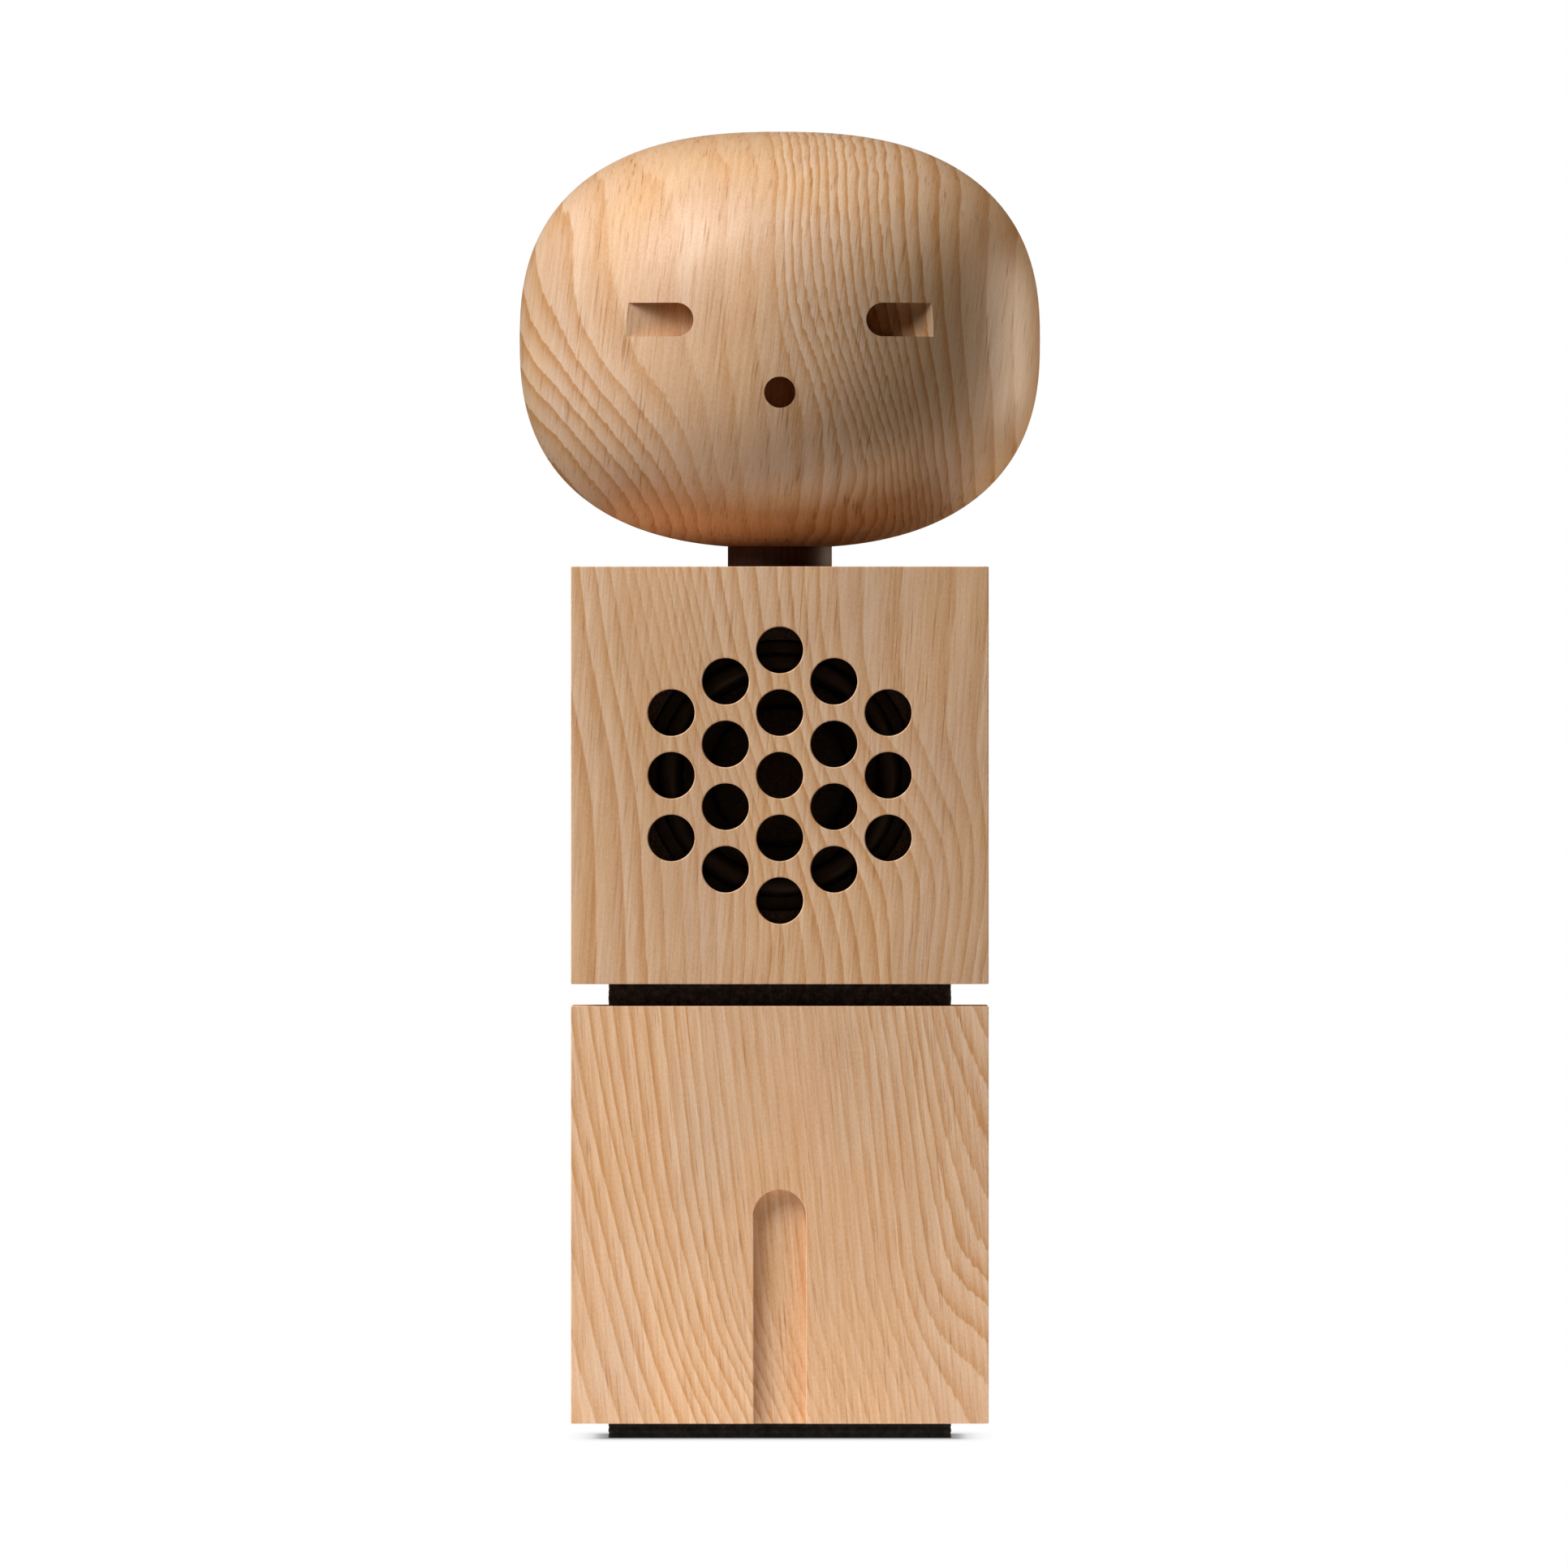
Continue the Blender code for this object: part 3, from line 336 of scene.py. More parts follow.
def material(finish, name=None, slot=None, **facts):
    """One material of each name, made by its finish the first time that it is asked for."""
    name = name or finish.__name__
    found = bpy.data.materials.get("fine_" + name)
    if found:
        return found
    made = bpy.data.materials.new("fine_" + name)
    made.use_nodes = True
    made["doll_slot"] = slot or name
    shader = made.node_tree.nodes["Principled BSDF"]
    finish(made.node_tree, shader, bpy.context.scene.doll_finish, **facts)
    return made


def ash(name, centre):
    """The ash of one piece, with that piece's own figure."""
    return material(
        oiled_ash, "oiled_ash_" + name, slot="oiled_ash", centre=centre, figure=FIGURES[name]
    )


def add(tree, kind, inputs=None, stops=None, **settings):
    """Adds a node, applies its settings, and gives its inputs values or links them to other nodes."""
    made = tree.nodes.new("ShaderNode" + kind)
    for name, value in settings.items():
        setattr(made, name, value)
    if stops:
        ramp = made.color_ramp
        while len(ramp.elements) < len(stops):
            ramp.elements.new(1.0)
        for element, (position, value) in zip(ramp.elements, stops):
            element.position = position
            element.color = value if isinstance(value, tuple) else (value, value, value, 1.0)
    feed(tree, made, inputs or {})
    return made


def feed(tree, made, inputs):
    for socket, value in inputs.items():
        if isinstance(value, bpy.types.Node):
            value = next(output for output in value.outputs if output.enabled)
        if isinstance(value, bpy.types.NodeSocket):
            tree.links.new(value, made.inputs[socket])
        else:
            made.inputs[socket].default_value = value


# Growth rings. Each figure is in millimetres about its piece's middle: x to the viewer's right,
# y to the back, z up. Rings are cylinders about a distant pith, folded sideways where the trunk bent.
# A fold is (direction in degrees, where it starts, how wide it is, how far it shifts the rings).
# Rings are given as runs across the grain, (from, to, how many), and their contrast as (at, how much).

FIGURES = {
    "head": {
        "pith": (400.0, 10.0),
        "slope": 0.04,
        "offset": -27.5,
        "folds": [
            (276, -5.5, 23, -1), (349, -45, 38, -20), (42, 3, 44, -15.5), (223, 15.5, 40.5, -20),
            (125, -2, 90, -17), (0, -21.5, 50.5, -19), (29, -1.5, 41.5, 20),
        ],
        "edge": 1,
        "rings": [
            (-40, -23.2, 7), (-23.2, -11, 6), (-11, 0, 5), (0, 5.1, 5), (5.1, 8.4, 3), (8.4, 13.4, 4),
            (13.4, 17.2, 2), (17.2, 22.9, 2), (22.9, 50, 6),
        ],
        "contrast": [
            (-24, 1.3), (-12, 1.2), (-8, 0.35), (-1, 0.3), (1, 1.4), (9, 1.6), (15, 1.4), (20, 1.3),
            (26, 1.1), (34, 1.0),
        ],
        "lean": -7.0,
        "sheet": 14,
        "fibre": 0.24,
        "patches": ("#F8F6FC", "#FFF8EF"),
        "seed": 3.1,
    },
    "chest": {
        "pith": (160.0, 10.0),
        "slope": -0.10,
        "offset": 10.1,
        "folds": [
            (301, 18, 41.5, 14.5), (31, -17.5, 42, 16), (352, 2.5, 26.5, -11.5), (194, 8, 28, -14.5),
            (25, -13.5, 21, 9.5), (255, -14.5, 28, -5),
        ],
        "edge": 1,
        "rings": [
            (-58.5, -45.5, 2), (-45.5, -31, 3), (-31, -20, 3), (-20, -10, 4), (-10, -6, 1), (-6, 10, 4),
            (10, 41, 12),
        ],
        "contrast": [
            (-45, 1.0), (-37, 0.6), (-24, 0.45), (-12, 0.7), (-5, 0.9), (10, 1.0), (16, 0.85),
            (26, 0.68), (34, 0.68),
        ],
        "lean": -4.0,
        "sheet": 1,
        "fibre": 0.34,
        "patches": ("#F8F6FC", "#FFF8EF"),
        "seed": 7.7,
    },
    "legs": {
        "pith": (-160.0, 10.0),
        "slope": 0.12,
        "offset": 7.0,
        "folds": [
            (178, -38, 18.5, 7), (193, 16, 22.5, -14.5), (222, 6, 37, -9), (287, 10.5, 24, -3.5),
            (71, 25, 14, 0.5),
        ],
        "edge": -1,
        "rings": [
            (-57.5, -44.5, 2), (-44.5, -38, 1), (-38, -24.6, 3), (-24.6, -13.2, 5), (-13.2, -5.9, 4),
            (-5.9, 21.5, 15), (21.5, 35, 11),
        ],
        "contrast": [
            (-44, 1.0), (-25, 1.1), (-22, 0.9), (-14, 1.1), (-6, 0.7), (-1, 0.3), (9, 0.45), (18, 0.8),
            (30, 1.1),
        ],
        "lean": 5.0,
        "sheet": 1,
        "fibre": 0.35,
        "patches": ("#FFF6EE", "#F8F7FC"),
        "seed": 1.3,
    },
    "panel": {
        "pith": (-120.0, -90.0),
        "slope": 0.06,
        "offset": 0.0,
        "folds": [(282, -10, 40, 7), (20, 0, 30, -5)],
        "edge": -1,
        "rings": [(-45, -8, 12), (-8, 6, 8), (6, 45, 12)],
        "contrast": [(-30, 0.9), (0, 0.5), (15, 0.4), (30, 0.9)],
        "lean": 1.0,
        "sheet": 1,
        "fibre": 0.4,
        "patches": ("#F8F6FC", "#FFF8EF"),
        "seed": 5.2,
    },
}


def ring_position(tree, local, figure):
    """Millimetres across the rings: flat across the front, then folded where the trunk bent."""
    pith_x, pith_y = figure["pith"]
    outwards = add(tree, "VectorMath", {0: local, 1: (-pith_x, -pith_y, 0)}, operation="ADD")
    flat = add(tree, "VectorMath", {0: outwards, 1: (1, 1, 0)}, operation="MULTIPLY")
    radius = add(tree, "VectorMath", {0: flat}, operation="LENGTH").outputs["Value"]
    side = math.copysign(1.0, pith_x)
    zero = side * math.hypot(pith_x, pith_y + 30) - figure["offset"]
    position = add(tree, "Math", {0: radius, 1: -side, 2: zero}, operation="MULTIPLY_ADD")
    slant = add(tree, "VectorMath", {0: local, 1: (0, 0, figure["slope"])}, operation="DOT_PRODUCT")
    position = add(tree, "Math", {0: position, 1: slant.outputs["Value"]}, operation="ADD")
    for degrees, start, width, shift in figure["folds"]:
        along = (math.cos(math.radians(degrees)), 0, math.sin(math.radians(degrees)))
        level = add(tree, "VectorMath", {0: local, 1: along}, operation="DOT_PRODUCT").outputs["Value"]
        span = {"Value": level, "From Min": start, "From Max": start + width, "To Max": shift}
        fold = add(tree, "MapRange", span, interpolation_type="SMOOTHSTEP")
        position = add(tree, "Math", {0: position, 1: fold}, operation="ADD")
    return position


def grain_noise(tree, place, across, along, detail, roughness=0.6):
    """Noise drawn out along the trunk. Both sizes are in millimetres."""
    grid = add(tree, "Mapping", {"Vector": place, "Scale": (1 / across, 1 / across, 1 / along)})
    return add(tree, "TexNoise", {"Vector": grid, "Scale": 1.0, "Detail": detail, "Roughness": roughness})


def centred(tree, value, amount, onto=0.0):
    """Noise turned into -amount to +amount, roughly, and added onto another value."""
    spread = add(tree, "Math", {0: value, 1: 0.5}, operation="SUBTRACT")
    return add(tree, "Math", {0: spread, 1: 4 * amount, 2: onto}, operation="MULTIPLY_ADD")


def oiled_ash(tree, shader, colours, centre, figure):
    """Plain-sawn ash, sanded and rubbed with oil: sharp-edged rings, open pores and a satin sheen."""
    # Object coordinates turned into millimetres about the piece's middle.
    place = add(tree, "TexCoord").outputs["Object"]
    middling = {"Vector": place, "Location": centre, "Scale": (MM, MM, MM)}
    local = add(tree, "Mapping", middling, vector_type="TEXTURE")
    # Fibres and pores run up the trunk, whatever way the rings seem to fall. On the head they lie
    # in sheets that run back through it, so that they stay long where its surface curves away.
    lean = (0, math.radians(figure["lean"]), 0)
    upright = {"Vector": local, "Location": (figure["seed"] * 9, 0, 0), "Rotation": lean}
    upright = add(tree, "Mapping", upright)
    sheets = add(tree, "Mapping", {"Vector": upright, "Scale": (1, 1 / figure["sheet"], 1)})
    position = ring_position(tree, local, figure)
    position = centred(tree, grain_noise(tree, upright, 14, 60, 1.0), 0.5, position)
    # The fibres fray each ring's edge.
    frayed = centred(tree, grain_noise(tree, sheets, 0.5, 8, 1.0), 0.14, position)
    rings = 0.0
    for start, end, count in figure["rings"]:
        run = {"Value": frayed, "From Min": start, "From Max": end, "To Max": count * figure["edge"]}
        rings = add(tree, "Math", {0: add(tree, "MapRange", run), 1: rings}, operation="ADD")
    age = add(tree, "Math", {0: rings}, operation="FRACT")
    year = add(tree, "Math", {0: rings}, operation="FLOOR")
    # Pale at the start of a year, darkening to a dense edge, then a clean step back to pale.
    growth = [(0.0, 0.0), (0.28, 0.14), (0.6, 0.46), (0.84, 0.88), (0.94, 1.0), (1.0, 0.1)]
    dense = add(tree, "ValToRGB", {"Fac": age}, stops=growth)
    # No two years are equally strong.
    luck = add(tree, "TexWhiteNoise", {"W": year}, noise_dimensions="1D").outputs["Value"]
    strong = add(tree, "MapRange", {"Value": luck, "To Min": 0.7, "To Max": 1.2})
    level = add(tree, "MapRange", {"Value": position, "From Min": -60.0, "From Max": 60.0})
    stops = [((at + 60) / 120, amount * 0.75) for at, amount in figure["contrast"]]
    contrast = add(tree, "ValToRGB", {"Fac": level}, stops=stops)
    contrast = add(tree, "Math", {0: contrast, 1: strong}, operation="MULTIPLY")
    ringed = add(tree, "Math", {0: dense, 1: 0.45}, operation="SUBTRACT")
    ringed = add(tree, "Math", {0: ringed, 1: contrast, 2: 0.5}, operation="MULTIPLY_ADD")
    # Fibres are streaks of tone, and the sanded ends of single cells break up the even colour.
    fibres = grain_noise(tree, sheets, 0.5, 16, 3.0, 0.65)
    amount = centred(tree, fibres, figure["fibre"], ringed)
    amount = centred(tree, grain_noise(tree, local, 0.3, 0.5, 1.0), 0.14, amount)
    pale, dark, pored = [linear(hue) for hue in (colours.ash_light, colours.ash_dark, colours.ash_pore)]
    wood = add(tree, "Mix", {0: amount, 6: pale, 7: dark}, data_type="RGBA")
    # Pores are 0.2 mm wide and several millimetres long. They gather in patches, and in dense wood.
    pores = grain_noise(tree, sheets, 0.3, 9, 2.0)
    pores = add(tree, "ValToRGB", {"Fac": pores}, stops=[(0.0, 0.0), (0.57, 0.0), (0.7, 1.0)])
    patchy = grain_noise(tree, upright, 7, 24, 1.0)
    patchy = {"Value": patchy, "From Min": 0.35, "From Max": 0.65, "To Min": 0.15, "To Max": 0.6}
    patchy = add(tree, "MapRange", patchy)
    patchy = add(tree, "Math", {0: dense, 1: 0.35, 2: patchy}, operation="MULTIPLY_ADD")
    pores = add(tree, "Math", {0: pores, 1: patchy}, operation="MULTIPLY")
    wood = add(tree, "Mix", {0: pores, 6: wood, 7: pored}, data_type="RGBA")
    # Broad warm and cool patches, 20 mm across.
    stops = [(0.35 + 0.3 * at, linear(tint)) for at, tint in enumerate(figure["patches"])]
    warm = add(tree, "ValToRGB", {"Fac": grain_noise(tree, upright, 18, 45, 2.0)}, stops=stops)
    wood = add(tree, "Mix", {0: 1.0, 6: wood, 7: warm}, data_type="RGBA", blend_type="MULTIPLY")
    height = add(tree, "Math", {0: pores, 1: -1.0, 2: fibres}, operation="MULTIPLY_ADD")
    height = add(tree, "Math", {0: dense, 1: 0.3, 2: height}, operation="MULTIPLY_ADD")
    bump = add(tree, "Bump", {"Height": height, "Strength": 0.35, "Distance": 0.06 * MM})
    satin = colours.oil_roughness
    rough = add(tree, "MapRange", {"Value": pores, "To Min": satin, "To Max": min(satin + 0.3, 1.0)})
    oil = {"IOR": 1.47, "Specular IOR Level": 0.36}
    feed(tree, shader, {"Base Color": wood, "Roughness": rough, "Normal": bump, **oil})


def millimetres(tree, scale=(1, 1, 1)):
    """Object coordinates in millimetres, divided by the size of what is to be drawn."""
    place = add(tree, "TexCoord").outputs["Object"]
    return add(tree, "Mapping", {"Vector": place, "Scale": [1 / (MM * size) for size in scale]})


def patterned(tree, shader, pattern, tones, rough, depth, span=(0.35, 0.65), strength=0.4, **more):
    """Lets a shader's tone, gloss and relief all follow one pattern. The relief is in millimetres."""
    stops = [(at, hue if isinstance(hue, tuple) else linear(hue)) for at, hue in zip(span, tones)]
    hue = add(tree, "ValToRGB", {"Fac": pattern}, stops=stops)
    if isinstance(rough, tuple):
        rough = add(tree, "MapRange", {"Value": pattern, "To Min": rough[0], "To Max": rough[1]})
    height = more.pop("height", pattern)
    bump = add(tree, "Bump", {"Height": height, "Strength": strength, "Distance": depth * MM})
    more = {name.replace("_", " "): value for name, value in more.items()}
    feed(tree, shader, {"Base Color": hue, "Roughness": rough, "Normal": bump, **more})


def smoked_oak(tree, shader, colours):
    """Oak darkened by fuming, turned and burnished: near-black with a close vertical grain."""
    grid = {"Vector": millimetres(tree, (0.5, 0.5, 9)), "Scale": 1.0, "Detail": 4.0, "Roughness": 0.6}
    grain = add(tree, "TexNoise", grid)
    tones = ("#583A2D", colours.oak)
    patterned(tree, shader, grain, tones, 0.58, 0.05, (0.3, 0.7), 0.3, Specular_IOR_Level=0.22)


def pressed_felt(tree, shader, colour):
    """Wool felt, pressed and cut: matt, with crossed fibres that break up its edges and its tone."""
    grid = millimetres(tree)
    fibres = add(tree, "TexNoise", {"Vector": grid, "Scale": 4.0, "Detail": 3.0, "Roughness": 0.7})
    lumps = add(tree, "TexNoise", {"Vector": grid, "Scale": 0.9, "Detail": 2.0})
    both = add(tree, "Math", {0: fibres, 1: lumps}, operation="ADD")
    both = add(tree, "Math", {0: both, 1: 0.5}, operation="MULTIPLY")
    tones = [linear(colour, share) for share in (0.5, 1.0, 1.9)]
    matt = {"Sheen_Weight": 0.03, "Sheen_Roughness": 0.6, "Specular_IOR_Level": 0.05}
    patterned(tree, shader, both, tones, 1.0, 0.2, (0.36, 0.5, 0.64), 0.6, **matt)


def black_felt(tree, shader, colours):
    pressed_felt(tree, shader, colours.felt)


def felt_painted_lighter(tree, shader, colours):
    """The same felt at the waist, painted a lighter grey than the foot's felt to stand in for light that
    does not reach the shaded gap at the waist.
    """
    pressed_felt(tree, shader, colours.felt_waist_painted_light)


def grey_foam(tree, shader, colours):
    """Open-cell polyurethane foam, die-cut: matt grey, pitted by cells 0.35 mm across."""
    cells = add(tree, "TexVoronoi", {"Vector": millimetres(tree), "Scale": 1 / 0.35})
    patterned(tree, shader, cells, ("#1F1E20", "#454347"), 0.95, 0.1, (0.1, 0.6))


def birch_plywood(tree, shader, colours):
    """Birch plywood, sawn and sanded: plies 1 mm thick, dark and light by turns, with fine grain."""
    grain = grain_noise(tree, millimetres(tree, (12, 0.4, 0.4)), 1, 1, 3.0)
    plies = add(tree, "SeparateXYZ", {"Vector": millimetres(tree)}).outputs["Z"]
    plies = add(tree, "Math", {0: plies, 1: 2.0}, operation="PINGPONG")
    plies = add(tree, "Math", {0: plies, 1: 1.0}, operation="GREATER_THAN")
    plies = add(tree, "Math", {0: plies, 1: 0.25, 2: grain}, operation="MULTIPLY_ADD")
    tones = ("#A98455", "#CFAF80")
    patterned(tree, shader, plies, tones, 0.6, 0.03, (0.35, 0.9), height=grain)


def zinc_plated_steel(tree, shader, colours):
    """Turned steel, plated bright with zinc: a cool sheen, clouded by the bath."""
    cloud = add(tree, "TexNoise", {"Vector": millimetres(tree), "Scale": 1.1, "Detail": 4.0})
    patterned(tree, shader, cloud, ("#94969A", "#BFC0C3"), (0.24, 0.44), 0.01, Metallic=1.0)


def black_painted_steel(tree, shader, colours):
    """Pressed steel, powder coated: an even black with a fine orange peel, 0.4 mm across."""
    peel = add(tree, "TexNoise", {"Vector": millimetres(tree), "Scale": 2.5, "Detail": 2.0})
    patterned(tree, shader, peel, ("#0D0D0F", "#17181A"), (0.38, 0.52), 0.02)


def ferrite_magnet(tree, shader, colours):
    """Sintered ferrite, ground flat: matt grey-black with grinding marks and small pits."""
    grid = millimetres(tree, (3, 0.5, 0.25))
    marks = add(tree, "TexNoise", {"Vector": grid, "Scale": 1.0, "Detail": 3.0})
    patterned(tree, shader, marks, ("#222327", "#34353A"), (0.52, 0.72), 0.04)


def brass(tree, shader, colours):
    """Turned brass, left bare: warm, a little dulled, with tool marks 0.15 mm apart."""
    grid = millimetres(tree, (1, 1, 0.15))
    marks = add(tree, "TexNoise", {"Vector": grid, "Scale": 1.0, "Detail": 2.0})
    patterned(tree, shader, marks, ("#A5823F", "#CBA75F"), (0.2, 0.36), 0.01, Metallic=1.0)


def black_paper_cone(tree, shader, colours):
    """Paper pulp, dyed and pressed on a former: matt black with short felted fibres."""
    grid = millimetres(tree)
    pulp = add(tree, "TexNoise", {"Vector": grid, "Scale": 3.0, "Detail": 4.0, "Distortion": 0.6})
    patterned(tree, shader, pulp, ("#302E2D", "#4A4745"), 0.8, 0.06, Specular_IOR_Level=0.3)


def black_rubber(tree, shader, colours):
    """Moulded rubber: smooth, with a dull bloom in patches."""
    bloom = add(tree, "TexNoise", {"Vector": millimetres(tree), "Scale": 0.5, "Detail": 4.0})
    patterned(tree, shader, bloom, ("#19191A", "#242426"), (0.4, 0.6), 0.01)


def copper_coil(tree, shader, colours):
    """Enamelled copper wire in close turns along the coil's axis, drawn 0.3 mm apart to show."""
    turns = add(tree, "TexWave", {"Vector": millimetres(tree), "Scale": 1.05}, bands_direction="Y")
    wire = {"span": (0.1, 0.7), "Metallic": 1.0, "Coat_Weight": 0.4}
    patterned(tree, shader, turns.outputs["Fac"], ("#6E351A", "#BC6F42"), 0.3, 0.05, **wire)


def spider_cloth(tree, shader, colours):
    """Cotton cloth stiffened with resin: a plain weave of threads 0.4 mm apart, amber and matt."""
    threads = {"Vector": millimetres(tree), "Scale": 0.8}
    warp = add(tree, "TexWave", threads, bands_direction="X").outputs["Fac"]
    weft = add(tree, "TexWave", threads, bands_direction="Z").outputs["Fac"]
    weave = add(tree, "Math", {0: warp, 1: weft}, operation="MAXIMUM")
    patterned(tree, shader, weave, ("#7C5526", "#BD9053"), 0.75, 0.08, (0.2, 0.9))


def green_circuit_board(tree, shader, colours):
    """Glass-fibre board under green lacquer: copper tracks on a 1.27 mm grid show through it."""
    bricks = {"Scale": 1.0, "Mortar Size": 0.16, "Brick Width": 5.08, "Row Height": 1.27}
    # Bricks lie in X and Y, so the board's Z is turned to Y.
    upright = add(tree, "Mapping", {"Vector": millimetres(tree), "Rotation": (math.pi / 2, 0, 0)})
    tones = {"Color1": linear("#175C39"), "Color2": linear("#1B6A42"), "Mortar": linear("#2C8A58")}
    tracks = add(tree, "TexBrick", {"Vector": upright, **bricks, **tones})
    raised = {"Height": tracks.outputs["Fac"], "Strength": 0.4, "Distance": 0.03 * MM}
    lacquer = {"Base Color": tracks, "Roughness": 0.3, "Coat Weight": 0.3}
    feed(tree, shader, {**lacquer, "Normal": add(tree, "Bump", raised)})


def black_chip(tree, shader, colours):
    """Filled epoxy, moulded: dark grey and finely matt."""
    sand = add(tree, "TexNoise", {"Vector": millimetres(tree), "Scale": 8.0, "Detail": 1.0})
    patterned(tree, shader, sand, ("#131315", "#1F1F22"), 0.55, 0.01)


def black_abs(tree, shader, colours):
    """Moulded ABS from a spark-eroded tool: satin black with a grit of 0.2 mm."""
    grit = add(tree, "TexNoise", {"Vector": millimetres(tree), "Scale": 5.0, "Detail": 2.0})
    patterned(tree, shader, grit, ("#0F0F10", "#1A1A1C"), (0.42, 0.58), 0.03)


def white_nylon(tree, shader, colours):
    """Moulded nylon: milky, with flow marks and a soft, slightly see-through edge."""
    flow = add(tree, "TexNoise", {"Vector": millimetres(tree), "Scale": 0.7, "Detail": 2.0})
    milky = {"Subsurface_Weight": 0.1, "Subsurface_Scale": 0.5 * MM}
    patterned(tree, shader, flow, ("#D3CFC4", "#E6E3DB"), (0.36, 0.5), 0.02, **milky)


def silver_pouch(tree, shader, colours):
    """Aluminium foil laminated in plastic and drawn into a pouch: silky, with broad soft creases."""
    crease = add(tree, "TexNoise", {"Vector": millimetres(tree), "Scale": 0.16, "Detail": 3.0})
    patterned(tree, shader, crease, ("#8F9197", "#B0B2B7"), (0.3, 0.45), 0.25, Metallic=1.0)


def clear_acrylic(tree, shader, colours):
    """Extruded acrylic, sawn and polished: clear, with a faint cloudiness where it was sawn."""
    cloud = add(tree, "TexNoise", {"Vector": millimetres(tree), "Scale": 2.0, "Detail": 2.0})
    rough = add(tree, "MapRange", {"Value": cloud, "To Min": 0.05, "To Max": 0.3})
    clear = {"Base Color": linear("#E8EFEF"), "IOR": 1.49, "Transmission Weight": 0.8}
    feed(tree, shader, {**clear, "Roughness": rough})


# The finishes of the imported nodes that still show, each named as its slot is.
FINISHES = (
    black_felt, grey_foam, birch_plywood, zinc_plated_steel, black_painted_steel, ferrite_magnet, brass,
    black_paper_cone, black_rubber, copper_coil, spider_cloth, green_circuit_board, black_chip,
    black_abs, white_nylon, silver_pouch, clear_acrylic,
)


# Operators


class DOLL_OT_head(Operator):
    """Turns the head and cuts its eyes, its mouth and the stepped bore for its pivot"""

    bl_idname = "doll.head"
    bl_label = "Head"

    def execute(self, context):
        sizes = context.scene.doll_sizes
        half = sizes.head_height / 2
        centre = Vector((0, 0, HEAD_HIGH.z - half))
        wide = HEAD_HIGH.x
        count = 72
        outline = []
        for step in range(count + 1):
            angle = math.pi * (step / count - 0.5)
            radius = wide * max(math.cos(angle), 0.0) ** (2 / sizes.head_power)
            lift = half * math.copysign(abs(math.sin(angle)) ** (2 / sizes.head_power), angle)
            outline.append((radius if 0 < step < count else 0.0, lift))
        ball = moved(spun(outline, 144), centre)

        cutters = []
        radius = sizes.eye_height / 2
        for side in (1, -1):
            inner = sizes.eye_inner + radius
            whole = [*arc((inner, 0), radius, 90, 270, 24), (wide * 1.2, -radius), (wide * 1.2, radius)]
            pocket = slab([(side * x, y) for x, y in whole], sizes.eye_floor, 2 * wide)
            cutters.append(to_front(pocket, centre + Vector((0, 0, sizes.eye_rise))))
        mouth = rod(sizes.mouth_radius, sizes.mouth_floor, 2 * wide)
        cutters.append(to_front(mouth, centre - Vector((0, 0, sizes.mouth_drop))))

        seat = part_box("neck_collar")[1].x + GAP
        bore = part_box("head_insert")[1].x + GAP
        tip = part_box("pivot_bolt")[1].x * 0.63
        low = centre.z - half
        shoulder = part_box("neck_felt_washer")[1].z + GAP
        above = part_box("head_insert")[1].z + GAP
        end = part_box("pivot_bolt")[1].z + 3 * MM
        stepped = [
            (0, low - 5 * MM), (seat, low - 5 * MM), (seat, shoulder), (bore, shoulder), (bore, above),
            (tip, above), (tip, end), (0, end),
        ]
        cutters.append(spun(stepped, 96))
        head = carved(ball, cutters)
        finish_piece("turned_head", head, ash("head", centre), ["head"], body="head", angle=25)
        return {"FINISHED"}


def block(low, high, arris):
    """A cube with its edges sanded to a small radius."""
    bm = bmesh.new()
    size = high - low
    shape = Matrix.Translation((low + high) / 2) @ Matrix.Diagonal((*size, 1.0))
    bmesh.ops.create_cube(bm, size=1.0, matrix=shape)
    return softened(bm, arris, 4)


def grille_places(rings, pitch):
    """Centres of a hexagon of holes that stands on a point."""
    places = []
    for column in range(-rings, rings + 1):
        count = 2 * rings + 1 - abs(column)
        for row in range(count):
            places.append((column * pitch * math.sqrt(3) / 2, (row - (count - 1) / 2) * pitch, 0))
    return places


